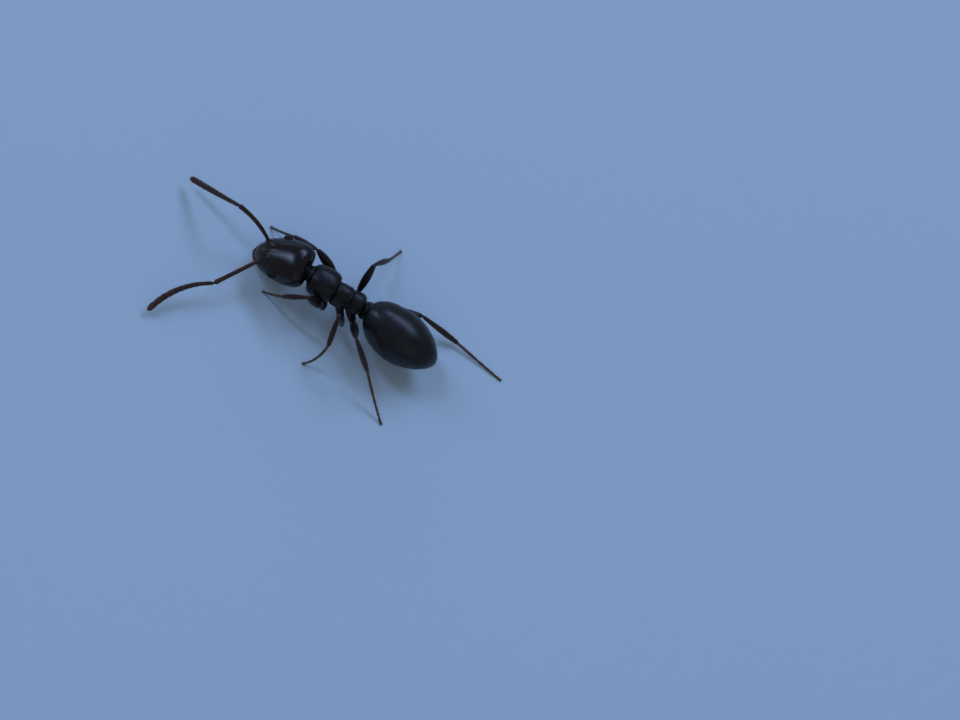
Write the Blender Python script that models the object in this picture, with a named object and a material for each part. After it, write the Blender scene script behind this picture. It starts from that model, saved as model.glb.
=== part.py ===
"""A small black worker ant at life size, standing still with its feelers out.

+X is forward (the head), +Y the ant's left, +Z up.  The model stands on z = 0
on six small flats, with the middle of its bounding box on the Z axis.  All
sizes below are in millimetres and are turned into metres by MM.
"""
import math

import bmesh
import bpy
from mathutils import Matrix, Vector

MM = 0.001
GAP = 0.010            # clearance between neighbouring plates

# ---- trunk --------------------------------------------------------------
HEAD_CENTRE = (1.390, 0.021, 0.645)
HEAD_TURN = (3.0, -25.0, 6.0)          # yaw to the left, pitch, lean to the left
HEAD_WIDTH = 0.995
HEAD_TOP = 0.355                       # above the long axis
HEAD_UNDER = 0.345                     # below it
HEAD_WIDEST = -0.18                    # along the axis, from the centre
HEAD_BACK = 0.70                       # centre to occiput
HEAD_NOSE = 0.70                       # centre to the tip of the jaws
HEAD_CLYPEUS = 0.47                    # centre to the front edge of the capsule
HEAD_HOLLOW = (0.095, 0.38)            # depth and half width of the hollow of the occiput

EYE_SIZE = (0.225, 0.085, 0.165)       # along the head, out of it, up and down
EYE_SEAT = (0.01, 0.432, 0.130)        # forward, sideways, up in the head
JAW_BASE = (0.485, 0.150, -0.055)
JAW_TIP = (0.700, 0.022, -0.085)
SOCKET = (0.377, 0.220, 0.147)         # root of the feeler in the head

THORAX_TURN = (5.0, 0.0, 0.0)
PRONOTUM = dict(front=0.70, back=0.085, widest=0.37, width=0.73, top=0.285,
                under=0.265, mid=0.862, side=0.022)
MESOTHORAX = dict(front=0.075, back=-0.270, widest=-0.02, width=0.475, top=0.255,
                  under=0.250, mid=0.842, side=0.058)
PROPODEUM = dict(front=-0.280, back=-0.595, widest=-0.42, width=0.475, top=0.240,
                 under=0.220, mid=0.805, side=0.048)

NECK = ((0.80, 0.02, 0.78), (0.58, 0.045, 0.82), 0.105)

PETIOLE_ENDS = ((-0.52, 0.020, 0.625), (-0.87, 0.055, 0.605))
PETIOLE_GIRTH = (0.085, 0.115, 0.085)

GASTER_CENTRE = (-1.565, 0.115, 0.745)
GASTER_TURN = (-4.5, 2.0, 0.0)
GASTER_WIDTH = 1.180
GASTER_TOP = 0.485
GASTER_UNDER = 0.475
GASTER_FRONT = 0.905                   # centre to the front
GASTER_BACK = 0.925                    # centre to the tip
GASTER_EDGES = (0.905, 0.400, -0.030, -0.385, -0.690, -0.925)
GASTER_OVERHANG = 0.130                # lift of the front over the waist

# ---- limbs --------------------------------------------------------------
SEGMENT = {                            # lengths: femur, tibia, tarsus
    "fore": (0.83, 0.64, 0.76),
    "mid": (0.84, 0.72, 0.78),
    "hind": (1.24, 1.01, 1.19),
}
GIRTH = {                              # radii: coxa, femur, tibia
    "fore": (0.115, 0.086, 0.062),
    "mid": (0.088, 0.086, 0.064),
    "hind": (0.100, 0.090, 0.066),
}
COXA_ROOT = {"fore": (0.33, 0.165, 0.640), "mid": (-0.105, 0.160, 0.640),
             "hind": (-0.37, 0.130, 0.625)}
LEGS = {
    # side and pair: coxa tip, then heading and rise of femur and tibia, heading of tarsus
    ("left", "fore"): ((0.103, 0.355, 0.445), (33.9, 53.3), (10.9, -45.6), -17.5),
    ("left", "mid"): ((-0.405, 0.430, 0.385), (50.0, 70.5), (108.0, -45.5), 58.2),
    ("left", "hind"): ((-0.560, 0.235, 0.400), (104.4, 54.0), (163.3, -50.1), 145.3),
    ("right", "fore"): ((0.165, -0.395, 0.440), (-9.1, 31.6), (-10.5, -28.0), -16.5),
    ("right", "mid"): ((-0.340, -0.260, 0.420), (-87.1, 46.1), (-115.5, -40.9), -104.1),
    ("right", "hind"): ((-0.600, -0.250, 0.380), (-159.1, 3.6), (183.2, -19.5), -187.2),
}
TARSUS_RADIUS = (0.042, 0.036)
TARSOMERES = (0.44, 0.61, 0.73, 0.83, 1.0)   # ends of the five joints of a foot
TARSUS_BOW = {("left", "mid"): (-0.055, 0.030, 0.0)}   # sideways bow of a foot
TOE_HEIGHT = 0.016                     # axis of the toe above the ground
TROCHANTER = (0.130, 0.058)            # length and radius
FEMUR_ARCH = 0.020                     # rise of a femur above its chord
KNEE_RADIUS = 0.050
ANKLE_RADIUS = 0.042
COXA_TIP_RADIUS = 0.058

SCAPE_LENGTH = 1.09
FUNICULUS_LENGTH = 1.53
SCAPE_RADII = (0.034, 0.046, 0.053)
FUNICULUS_RADII = (0.036, 0.060, 0.068)
ELBOW_RADIUS = 0.050
FEELERS = {                            # heading and rise of scape and funiculus, their bows
    "left": ((59.6, -5.2), (53.8, -12.5), (0.0, 0.0, 0.0), (0.128, -0.086, 0.030)),
    "right": ((-6.2, 31.0), (-16.7, -37.2), (-0.031, -0.055, 0.026), (0.0, 0.0, -0.02)),
}

CUTICLE = (0.012, 0.011, 0.013, 1.0)
BROWN = (0.060, 0.024, 0.012, 1.0)
PALE_BROWN = (0.120, 0.058, 0.028, 1.0)
EYE_BLACK = (0.004, 0.004, 0.006, 1.0)


# ---- small tools --------------------------------------------------------
def clear_scene():
    """Remove whatever the scene holds."""
    for obj in list(bpy.data.objects):
        bpy.data.objects.remove(obj, do_unlink=True)


def make_material(name, colour, roughness):
    """A Principled material with one colour."""
    material = bpy.data.materials.new(name)
    material.use_nodes = True
    shader = material.node_tree.nodes["Principled BSDF"]
    shader.inputs["Base Color"].default_value = colour
    shader.inputs["Roughness"].default_value = roughness
    shader.inputs["Metallic"].default_value = 0.0
    material.diffuse_color = colour
    return material


def heading(yaw, rise):
    """Unit vector for a yaw from +X towards +Y and a rise above the floor."""
    yaw, rise = math.radians(yaw), math.radians(rise)
    return Vector((math.cos(rise) * math.cos(yaw), math.cos(rise) * math.sin(yaw),
                   math.sin(rise)))


def body_frame(centre, turn):
    """Frame whose X runs forward, Y left and Z up in a turned plate."""
    yaw, pitch, lean = turn
    rotation = (Matrix.Rotation(math.radians(yaw), 4, "Z")
                @ Matrix.Rotation(math.radians(-pitch), 4, "Y")
                @ Matrix.Rotation(math.radians(-lean), 4, "X"))
    return Matrix.Translation(Vector(centre)) @ rotation


def swell(x, form):
    """Girth at x of an egg end: 1 at the widest place and 0 at the pole (x = 1)."""
    power, root = form
    return max(0.0, 1.0 - abs(x) ** power) ** (1.0 / root)


def egg(station, widest, back, front, back_form, front_form):
    """Girth of an egg at a station between its back and its front."""
    if station >= widest:
        return swell((station - widest) / (front - widest), front_form)
    return swell((widest - station) / (widest - back), back_form)


def section(frame, station, half_width, top, under, sides, squareness=2.0, lift=0.0,
            side=0.0):
    """A closed ring of points across a plate: rounded, and flatter if top and under differ."""
    ring = []
    for k in range(sides):
        angle = 2.0 * math.pi * (k + 0.5) / sides
        c, s = math.cos(angle), math.sin(angle)
        y = half_width * math.copysign(abs(c) ** (2.0 / squareness), c)
        z = math.copysign(abs(s) ** (2.0 / squareness), s) * (top if s > 0 else under)
        ring.append(frame @ Vector((station, y + side, z + lift)))
    return ring


def spread(low, high, count):
    """Stations between two poles, closer together towards both."""
    return [low + (high - low) * 0.5 * (1.0 - math.cos(math.pi * k / count))
            for k in range(count + 1)]


def mesh_object(name, mesh_bm, material):
    """Turn a bmesh in millimetres into an object in metres."""
    bmesh.ops.triangulate(mesh_bm, faces=mesh_bm.faces[:])
    bmesh.ops.recalc_face_normals(mesh_bm, faces=mesh_bm.faces[:])
    bmesh.ops.scale(mesh_bm, vec=(MM, MM, MM), verts=mesh_bm.verts[:])
    mesh = bpy.data.meshes.new(name)
    mesh_bm.to_mesh(mesh)
    mesh_bm.free()
    mesh.materials.append(material)
    mesh.shade_smooth()
    mesh.set_sharp_from_angle(angle=math.radians(48.0))
    obj = bpy.data.objects.new(name, mesh)
    bpy.context.scene.collection.objects.link(obj)
    return obj


def skin(rings):
    """Join rings of points into one closed body with a pole at each end."""
    bm = bmesh.new()
    loops = [[bm.verts.new(p) for p in ring] for ring in rings]
    count = len(rings[0])
    for near, far in zip(loops, loops[1:]):
        for k in range(count):
            j = (k + 1) % count
            bm.faces.new((near[k], near[j], far[j], far[k]))
    for loop, flip in ((loops[0], True), (loops[-1], False)):
        middle = bm.verts.new(sum((v.co for v in loop), Vector()) / count)
        for k in range(count):
            j = (k + 1) % count
            order = (loop[j], loop[k], middle) if flip else (loop[k], loop[j], middle)
            bm.faces.new(order)
    return bm


def cut_by(obj, plate, clearance=GAP):
    """Trim an object so that it stays clear of a neighbouring plate."""
    mesh = plate.data.copy()
    bm = bmesh.new()
    bm.from_mesh(mesh)
    bm.normal_update()
    for vert, normal in [(v, v.normal.copy()) for v in bm.verts]:
        vert.co += normal * clearance * MM
    bm.to_mesh(mesh)
    bm.free()
    cutter = bpy.data.objects.new("cut_" + obj.name + "_" + plate.name, mesh)
    bpy.context.scene.collection.objects.link(cutter)
    cutter.hide_render = True
    cutter.display_type = "WIRE"
    modifier = obj.modifiers.new("clear_of_" + plate.name, "BOOLEAN")
    modifier.operation = "DIFFERENCE"
    modifier.solver = "EXACT"
    modifier.object = cutter
    return cutter


def path_frame(tangent, upward=Vector((0.0, 0.0, 1.0))):
    """Rotation whose X follows a limb and whose Z stays as upright as it can."""
    x = tangent.normalized()
    y = upward.cross(x)
    if y.length < 1e-4:
        y = Vector((0.0, 1.0, 0.0))
    y.normalize()
    z = x.cross(y)
    return Matrix((x, y, z)).transposed().to_4x4()


def tube(path, girths, sides):
    """Rings of the given (place, radius) pairs along a path function."""
    rings = []
    for place, radius in girths:
        tangent = path(min(place + 0.01, 1.0)) - path(max(place - 0.01, 0.0))
        frame = Matrix.Translation(path(place)) @ path_frame(tangent)
        rings.append(section(frame, 0.0, radius, radius, radius, sides))
    return rings


def bowed(start, end, bow=(0.0, 0.0, 0.0)):
    """Path from start to end that bows out at its middle."""
    bow = Vector(bow)
    return lambda t: start.lerp(end, t) + bow * 4.0 * t * (1.0 - t)


def spindle(base, belly, tip, belly_at=0.45, stations=7):
    """(place, radius) pairs of a limb joint: narrow ends, fuller in the middle."""
    girths = [(0.0, base * 0.62)]
    for k in range(1, stations):
        t = k / stations
        if t < belly_at:
            blend = math.sin(0.5 * math.pi * t / belly_at)
            girths.append((t, base + (belly - base) * blend))
        else:
            blend = math.sin(0.5 * math.pi * (1.0 - t) / (1.0 - belly_at))
            girths.append((t, tip + (belly - tip) * blend))
    girths.insert(1, (0.035, base))
    girths.append((0.975, tip * 0.92))
    girths.append((1.0, tip * 0.55))
    return girths


# ---- head ---------------------------------------------------------------
def head_girths(station):
    """Half width and relative height of the head capsule at a station."""
    width = egg(station, HEAD_WIDEST, -HEAD_BACK, HEAD_NOSE, (4.0, 2.5), (1.5, 2.0))
    height = egg(station, HEAD_WIDEST, -HEAD_BACK, HEAD_NOSE, (2.6, 2.2), (1.7, 2.0))
    return width * HEAD_WIDTH / 2.0, height


def hollow_back(point):
    """Press the middle of the occiput in, so that its two corners stand out."""
    depth, half_width = HEAD_HOLLOW
    behind = max(0.0, (HEAD_WIDEST - point.x) / (HEAD_WIDEST + HEAD_BACK))
    middle = max(0.0, 1.0 - (point.y / half_width) ** 2)
    return point + Vector((depth * behind ** 3 * middle, 0.0, 0.0))


def make_head(material):
    """The egg-shaped capsule, with a hollow back edge and a blunt front."""
    frame = body_frame(HEAD_CENTRE, HEAD_TURN)
    here = Matrix.Identity(4)
    rings = []
    for station in spread(-HEAD_BACK, HEAD_CLYPEUS - 0.02, 13)[1:]:
        half, height = head_girths(station)
        rings.append(section(here, station, half, HEAD_TOP * height,
                             HEAD_UNDER * height, 20, 2.25))
    half, height = head_girths(HEAD_CLYPEUS)
    rings.append(section(here, HEAD_CLYPEUS, half * 0.72, HEAD_TOP * height * 0.7,
                         HEAD_UNDER * height * 0.7, 20, 2.25))
    bm = skin(rings)
    for vert in bm.verts:
        vert.co = frame @ hollow_back(vert.co)
    return mesh_object("head", bm, material)


def make_eye(side, sign, head, material):
    """A flat-domed compound eye set into a socket of the head."""
    frame = body_frame(HEAD_CENTRE, HEAD_TURN)
    length, depth, height = EYE_SIZE
    forward, out, up = EYE_SEAT
    seat = frame @ Matrix.Translation(Vector((forward, sign * out, up)))
    seat = seat @ Matrix.Rotation(sign * math.radians(18.0), 4, "X")
    seat = seat @ Matrix.Rotation(-sign * math.radians(6.0), 4, "Z")

    def ball(extra):
        bm = bmesh.new()
        bmesh.ops.create_uvsphere(bm, u_segments=14, v_segments=8, radius=1.0)
        grow = Matrix.Diagonal((length / 2.0 + extra, depth + extra,
                                height / 2.0 + extra, 1.0))
        bmesh.ops.transform(bm, matrix=seat @ grow, verts=bm.verts[:])
        return bm

    eye = mesh_object("eye_" + side, ball(0.0), material)
    socket = mesh_object("socket_" + side, ball(GAP), material)
    socket.hide_render = True
    socket.display_type = "WIRE"
    modifier = head.modifiers.new("socket_" + side, "BOOLEAN")
    modifier.operation = "DIFFERENCE"
    modifier.solver = "EXACT"
    modifier.object = socket
    return eye


def make_jaw(side, sign, material):
    """A closed mandible: a curved wedge from the corner of the face to its middle."""
    frame = body_frame(HEAD_CENTRE, HEAD_TURN)
    base = Vector(JAW_BASE)
    tip = Vector(JAW_TIP)
    rings = []
    for t, width, height in ((0.0, 0.115, 0.075), (0.25, 0.122, 0.078), (0.5, 0.098, 0.068),
                             (0.75, 0.062, 0.052), (0.93, 0.030, 0.034), (1.0, 0.012, 0.016)):
        place = base.lerp(tip, t)
        outward = 0.030 * math.sin(math.pi * t)
        middle = max(place.y + outward, width + GAP / 2.0)
        rings.append(section(frame, place.x, width, height, height, 10, 2.4,
                             lift=place.z, side=sign * middle))
    return mesh_object("mandible_" + side, skin(rings), material)


# ---- thorax and waist ---------------------------------------------------
def make_plate(name, plate, ends, forms, stations, material, drop=0.0):
    """One plate of the thorax: an egg cut off at both ends."""
    frame = body_frame((0.0, plate["side"], plate["mid"]), THORAX_TURN)
    back_end, front_end = ends
    rings = []
    count = stations
    for k in range(count + 1):
        station = plate["back"] + (plate["front"] - plate["back"]) * k / count
        girth = egg(station, plate["widest"], plate["back"], plate["front"],
                    forms[0], forms[1])
        low = back_end if station < plate["widest"] else front_end
        girth = low + (1.0 - low) * girth
        lift = drop * (1.0 - girth)
        rings.append(section(frame, station, girth * plate["width"] / 2.0,
                             girth * plate["top"], girth * plate["under"], 16, 2.2, lift))
    return mesh_object(name, skin(rings), material)


def make_thorax(materials):
    """Pronotum, mesothorax and propodeum, the three plates of the trunk."""
    pronotum = make_plate("pronotum", PRONOTUM, (0.66, 0.30), ((2.4, 1.8), (2.3, 1.7)),
                          8, materials["pronotum"], -0.05)
    mesothorax = make_plate("mesothorax", MESOTHORAX, (0.84, 0.86),
                            ((2.0, 2.0), (2.0, 2.0)), 5, materials["mesothorax"])
    propodeum = make_plate("propodeum", PROPODEUM, (0.34, 0.82), ((2.6, 1.8), (2.0, 2.0)),
                           7, materials["propodeum"], 0.05)
    return pronotum, mesothorax, propodeum


def make_neck(head, pronotum, material):
    """The short collar that carries the head."""
    start, end, radius = Vector(NECK[0]), Vector(NECK[1]), NECK[2]
    path = bowed(start, end)
    rings = tube(path, [(0.0, radius * 0.9), (0.35, radius), (0.7, radius * 1.05),
                        (1.0, radius)], 12)
    neck = mesh_object("neck", skin(rings), material)
    cut_by(neck, head)
    cut_by(neck, pronotum)
    return neck


def make_petiole(propodeum, first_segment, material):
    """The low node of the waist, tucked under the front of the gaster."""
    start, end = Vector(PETIOLE_ENDS[0]), Vector(PETIOLE_ENDS[1])
    base, belly, tip = PETIOLE_GIRTH
    rings = tube(bowed(start, end, (0.0, 0.0, 0.012)),
                 spindle(base, belly, tip, 0.5, 5), 12)
    petiole = mesh_object("petiole", skin(rings), material)
    cut_by(petiole, propodeum)
    cut_by(petiole, first_segment)
    return petiole


# ---- gaster -------------------------------------------------------------
def gaster_section(frame, station, shrink=1.0):
    """Ring of the egg-shaped gaster at a station along its axis."""
    girth = egg(station, -0.04, -GASTER_BACK - 0.02, GASTER_FRONT + 0.004,
                (1.6, 1.7), (2.25, 2.05))
    towards_front = max(0.0, (station - 0.15) / (GASTER_FRONT - 0.15))
    lift = GASTER_OVERHANG * towards_front ** 2
    return section(frame, station, shrink * girth * GASTER_WIDTH / 2.0,
                   shrink * girth * GASTER_TOP, shrink * girth * GASTER_UNDER, 20, 2.0, lift)


def make_gaster(materials):
    """Five ring-shaped segments, each tucked a little inside the one before it."""
    frame = body_frame(GASTER_CENTRE, GASTER_TURN)
    counts = (8, 4, 4, 4, 4)
    made = []
    for k, count in enumerate(counts):
        front = GASTER_EDGES[k] - (GAP if k else 0.0)
        back = GASTER_EDGES[k + 1]
        rings = []
        for j in range(count + 1):
            share = j / count
            if k == 0:
                share = 1.0 - math.cos(0.5 * math.pi * share)
            station = front + (back - front) * share
            if k and j == 0:
                rings.append(gaster_section(frame, station, 0.955))
                station -= 0.012
            if not (k == 0 and j == 0):
                rings.append(gaster_section(frame, station))
        made.append(mesh_object("gaster_segment_%d" % (k + 1), skin(rings),
                                materials["gaster_segment_%d" % (k + 1)]))
    return made


# ---- legs ---------------------------------------------------------------
def make_coxa(name, root, tip, radius, plate, material):
    """The thick first joint of a leg, hung from its plate."""
    girths = [(0.0, radius * 0.8), (0.2, radius), (0.45, radius), (0.7, radius * 0.82),
              (0.88, COXA_TIP_RADIUS * 1.05), (0.97, COXA_TIP_RADIUS * 0.8),
              (1.0, COXA_TIP_RADIUS * 0.45)]
    coxa = mesh_object(name, skin(tube(bowed(root, tip), girths, 12)), material)
    cut_by(coxa, plate)
    return coxa


def make_tarsus(name, ankle, toe, bow, material):
    """Five short joints that end in a flat on the ground."""
    sag = 0.06 * (ankle.z - toe.z)
    path = bowed(ankle, toe, Vector(bow) - Vector((0.0, 0.0, sag)))
    girths = []
    begin = 0.0
    for k, end in enumerate(TARSOMERES):
        radius = TARSUS_RADIUS[0] + (TARSUS_RADIUS[1] - TARSUS_RADIUS[0]) * begin
        girths.append((begin + (0.0 if k == 0 else 0.012), radius * 0.74))
        girths.append((end - 0.022, radius))
        begin = end
    girths.append((1.0, TARSUS_RADIUS[1] * 0.72))
    bm = skin(tube(path, girths, 8))
    cut = bmesh.ops.bisect_plane(bm, geom=bm.verts[:] + bm.edges[:] + bm.faces[:],
                                 plane_co=(0.0, 0.0, 0.0), plane_no=(0.0, 0.0, 1.0),
                                 clear_inner=True)
    rim = [g for g in cut["geom_cut"] if isinstance(g, bmesh.types.BMEdge)]
    bmesh.ops.holes_fill(bm, edges=rim, sides=0)
    for vert in bm.verts:
        if abs(vert.co.z) < 1e-5:
            vert.co.z = 0.0
    return mesh_object(name, bm, material)


def make_leg(side, pair, plate, materials):
    """Coxa, trochanter, femur, tibia and tarsus of one leg."""
    sign = 1.0 if side == "left" else -1.0
    hip, femur_way, tibia_way, tarsus_yaw = LEGS[(side, pair)]
    femur_length, tibia_length, tarsus_length = SEGMENT[pair]
    coxa_radius, femur_radius, tibia_radius = GIRTH[pair]
    label = "%s_%s_" % (side, pair)
    x, y, z = COXA_ROOT[pair]
    root = Vector((x, sign * y, z))
    hip = Vector(hip)
    along_femur = heading(*femur_way)
    along_tibia = heading(*tibia_way)
    knee = hip + along_femur * femur_length
    ankle = knee + along_tibia * tibia_length
    drop = math.degrees(math.asin((ankle.z - TOE_HEIGHT) / tarsus_length))
    toe = ankle + heading(tarsus_yaw, -drop) * tarsus_length

    coxa = make_coxa(label + "coxa", root, hip, coxa_radius, plate,
                     materials[label + "coxa"])
    start = hip + along_femur * (COXA_TIP_RADIUS * 0.62 + GAP)
    length, radius = TROCHANTER
    finish = start + along_femur * length
    rings = tube(bowed(start, finish), [(0.0, radius * 0.55), (0.25, radius * 0.92),
                                        (0.65, radius), (1.0, radius * 0.8)], 8)
    trochanter = mesh_object(label + "trochanter", skin(rings),
                             materials[label + "trochanter"])
    cut_by(trochanter, coxa)

    arch = Vector((0.0, 0.0, 1.0)).cross(along_femur).cross(along_femur) * -FEMUR_ARCH
    rings = tube(bowed(finish + along_femur * GAP, knee, arch),
                 spindle(0.055, femur_radius, KNEE_RADIUS, 0.42, 6), 10)
    mesh_object(label + "femur", skin(rings), materials[label + "femur"])

    fold = 0.5 * (1.0 - along_femur.dot(along_tibia))
    start = knee + along_tibia * (KNEE_RADIUS * (0.4 + 1.3 * fold) + GAP)
    rings = tube(bowed(start, ankle), spindle(0.036, tibia_radius, ANKLE_RADIUS, 0.6, 6), 8)
    mesh_object(label + "tibia", skin(rings), materials[label + "tibia"])

    along_tarsus = (toe - ankle).normalized()
    make_tarsus(label + "tarsus", ankle + along_tarsus * (ANKLE_RADIUS * 0.35 + GAP), toe,
                TARSUS_BOW.get((side, pair), (0.0, 0.0, 0.0)), materials[label + "tarsus"])


# ---- feelers ------------------------------------------------------------
def make_feeler(side, head, materials):
    """Scape and funiculus of one antenna."""
    sign = 1.0 if side == "left" else -1.0
    scape_way, funiculus_way, scape_bow, bow = FEELERS[side]
    frame = body_frame(HEAD_CENTRE, HEAD_TURN)
    forward, out, up = SOCKET
    root = frame @ Vector((forward, sign * out, up))
    along_scape = heading(*scape_way)
    along_funiculus = heading(*funiculus_way)
    elbow = root + along_scape * SCAPE_LENGTH
    tip = elbow + along_funiculus * FUNICULUS_LENGTH
    base, belly, top = SCAPE_RADII
    rings = tube(bowed(root, elbow, scape_bow), spindle(base, belly, top, 0.55, 7), 8)
    scape = mesh_object("antenna_%s_scape" % side, skin(rings),
                        materials["antenna_%s_scape" % side])
    cut_by(scape, head)
    base, belly, top = FUNICULUS_RADII
    start = elbow + along_funiculus * (ELBOW_RADIUS * 0.45 + GAP)
    girths = [(0.0, base * 0.7), (0.02, base), (0.09, base * 1.12), (0.12, base * 0.95)]
    for k in range(1, 8):
        t = k / 8.0
        girths.append((0.12 + 0.82 * t, base + (top - base) * math.sin(0.5 * math.pi * t)))
    girths += [(0.965, top * 0.86), (0.99, top * 0.5), (1.0, top * 0.22)]
    rings = tube(bowed(start, tip, bow), girths, 10)
    mesh_object("antenna_%s_funiculus" % side, skin(rings),
                materials["antenna_%s_funiculus" % side])


# ---- assembly -----------------------------------------------------------
def piece_colour(name):
    """Colour and roughness of a piece by what it is."""
    if name.startswith("eye"):
        return EYE_BLACK, 0.18
    if "tarsus" in name:
        return PALE_BROWN, 0.45
    if "antenna" in name or "tibia" in name or "mandible" in name or "petiole" in name:
        return BROWN, 0.36
    return CUTICLE, 0.27


def make_materials():
    """One material for each piece of the ant."""
    names = ["head", "neck", "pronotum", "mesothorax", "propodeum", "petiole"]
    names += ["gaster_segment_%d" % k for k in range(1, 6)]
    for side in ("left", "right"):
        names += ["eye_" + side, "mandible_" + side]
        names += ["antenna_%s_scape" % side, "antenna_%s_funiculus" % side]
        for pair in ("fore", "mid", "hind"):
            for joint in ("coxa", "trochanter", "femur", "tibia", "tarsus"):
                names.append("%s_%s_%s" % (side, pair, joint))
    return {name: make_material("mat_" + name, *piece_colour(name)) for name in names}


def centre_on_origin():
    """Shift the ant so that the middle of its box is over the origin."""
    low = Vector((1e9, 1e9, 1e9))
    high = -low
    bpy.context.view_layer.update()
    graph = bpy.context.evaluated_depsgraph_get()
    for obj in bpy.context.scene.objects:
        if obj.hide_render:
            continue
        shape = obj.evaluated_get(graph)
        mesh = shape.to_mesh()
        for vert in mesh.vertices:
            for axis in range(3):
                low[axis] = min(low[axis], vert.co[axis])
                high[axis] = max(high[axis], vert.co[axis])
        shape.to_mesh_clear()
    shift = Vector((-(low.x + high.x) / 2.0, -(low.y + high.y) / 2.0, 0.0))
    for obj in bpy.context.scene.objects:
        obj.location += shift
    return shift


def main():
    """Build the whole ant."""
    clear_scene()
    materials = make_materials()
    head = make_head(materials["head"])
    for side, sign in (("left", 1.0), ("right", -1.0)):
        make_eye(side, sign, head, materials["eye_" + side])
        make_jaw(side, sign, materials["mandible_" + side])
        make_feeler(side, head, materials)
    pronotum, mesothorax, propodeum = make_thorax(materials)
    make_neck(head, pronotum, materials["neck"])
    gaster = make_gaster(materials)
    make_petiole(propodeum, gaster[0], materials["petiole"])
    plates = {"fore": pronotum, "mid": mesothorax, "hind": propodeum}
    for side in ("left", "right"):
        for pair in ("fore", "mid", "hind"):
            make_leg(side, pair, plates[pair], materials)
    shift = centre_on_origin()
    print("shift in mm:", [round(c / MM, 4) for c in shift])


main()
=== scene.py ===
"""A small black worker ant at life size, as a museum model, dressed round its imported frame.

Lengths are in millimetres in the ant's own layout (+X forward, +Y its left, +Z up) and become
metres when a mesh is made.  Every plate is a grid of points, bent and grooved by short
functions, and carries a number from 0 to 1 that tells its finish how pale the cuticle is.
"""

import logging
import math
from dataclasses import dataclass, field
from enum import Enum

import bpy
import numpy as np
from mathutils import Matrix, Vector


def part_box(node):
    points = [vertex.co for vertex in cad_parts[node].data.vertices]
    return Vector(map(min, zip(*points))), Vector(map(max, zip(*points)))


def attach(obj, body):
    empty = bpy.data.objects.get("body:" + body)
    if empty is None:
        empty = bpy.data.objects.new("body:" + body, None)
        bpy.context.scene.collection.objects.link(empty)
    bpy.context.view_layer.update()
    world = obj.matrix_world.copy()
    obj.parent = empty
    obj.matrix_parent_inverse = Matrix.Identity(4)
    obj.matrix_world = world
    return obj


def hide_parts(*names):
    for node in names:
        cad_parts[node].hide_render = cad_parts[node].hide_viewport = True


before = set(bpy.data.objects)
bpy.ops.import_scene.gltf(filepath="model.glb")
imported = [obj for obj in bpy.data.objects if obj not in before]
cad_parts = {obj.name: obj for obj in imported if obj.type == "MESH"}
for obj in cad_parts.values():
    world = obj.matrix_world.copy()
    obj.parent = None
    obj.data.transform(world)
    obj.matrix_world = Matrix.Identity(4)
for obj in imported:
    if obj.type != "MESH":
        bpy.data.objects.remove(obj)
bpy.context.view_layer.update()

LOG = logging.getLogger("ant")
MM = 0.001
Array = np.ndarray
Point = tuple[float, float, float]
Forms = tuple[tuple[float, float], tuple[float, float]]
CIRCLE = 2.0 * math.pi
UP = np.array([0.0, 0.0, 1.0])
DOMED = (0.035, 0.03)     # shares of a limb joint's length that its two domed ends take


class Side(Enum):
    """Side of the ant."""

    LEFT = "left"
    RIGHT = "right"

    @property
    def sign(self) -> float:
        """+1 on the ant's left and -1 on its right."""
        return 1.0 if self is Side.LEFT else -1.0


class Pair(Enum):
    """Pair of legs."""

    FORE = "fore"
    MID = "mid"
    HIND = "hind"


class Slot(Enum):
    """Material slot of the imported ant."""

    BLACK = "black_cuticle"
    BROWN_BLACK = "brown_black_cuticle"
    BROWN = "brown_cuticle"
    PALE_BROWN = "pale_brown_cuticle"
    EYE = "eye_black"


@dataclass(frozen=True)
class Finish:
    """A material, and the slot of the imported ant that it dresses."""

    material: bpy.types.Material
    slot: Slot


# ---- numbers ------------------------------------------------------------
def step(value: Array, low: float, high: float) -> Array:
    """Smooth rise from 0 at low to 1 at high."""
    share = np.clip((value - low) / (high - low), 0.0, 1.0)
    return share * share * (3.0 - 2.0 * share)


def ridge(distance: Array, width: float) -> Array:
    """Rounded ridge of height 1 along distance 0."""
    return np.exp(-(distance / width) ** 2)


def unit(vectors: Array) -> Array:
    """Vectors of length 1."""
    length = np.linalg.norm(vectors, axis=-1, keepdims=True)
    return vectors / np.maximum(length, 1e-12)


def swell(x: Array, form: tuple[float, float]) -> Array:
    """Girth at x of an egg end: 1 at the widest place and 0 at the pole (x = 1)."""
    return np.maximum(0.0, 1.0 - np.abs(x) ** form[0]) ** (1.0 / form[1])


def egg(station: Array, widest: float, ends: tuple[float, float], forms: Forms) -> Array:
    """Girth of an egg at stations between its back and its front.

    Args:
        station: places along the axis.
        widest: the place of the full girth.
        ends: back and front pole.
        forms: powers of the back and of the front half.

    Returns:
        The girth, 1 at the widest place.
    """
    back, front = ends
    return np.where(station >= widest, swell((station - widest) / (front - widest), forms[1]),
                    swell((widest - station) / (widest - back), forms[0]))


def heading(yaw: float, rise: float) -> Array:
    """Direction of a limb or a feeler.

    Args:
        yaw: turn from +X towards +Y, in degrees.
        rise: angle above the floor, in degrees.

    Returns:
        A unit vector.
    """
    yaw, rise = math.radians(yaw), math.radians(rise)
    level = math.cos(rise)
    return np.array([level * math.cos(yaw), level * math.sin(yaw), math.sin(rise)])


def bowed(start: Array, end: Array, bow: Array | Point, count: int) -> Array:
    """Points from start to end, on a line that bows out by bow at its middle."""
    t = np.linspace(0.0, 1.0, count)[:, None]
    return start + (end - start) * t + np.asarray(bow) * 4.0 * t * (1.0 - t)


def straight(start: Array | Point, end: Array | Point, count: int) -> Array:
    """Points on a straight line from start to end."""
    return bowed(np.array(start), np.array(end), (0.0, 0.0, 0.0), count)


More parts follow.
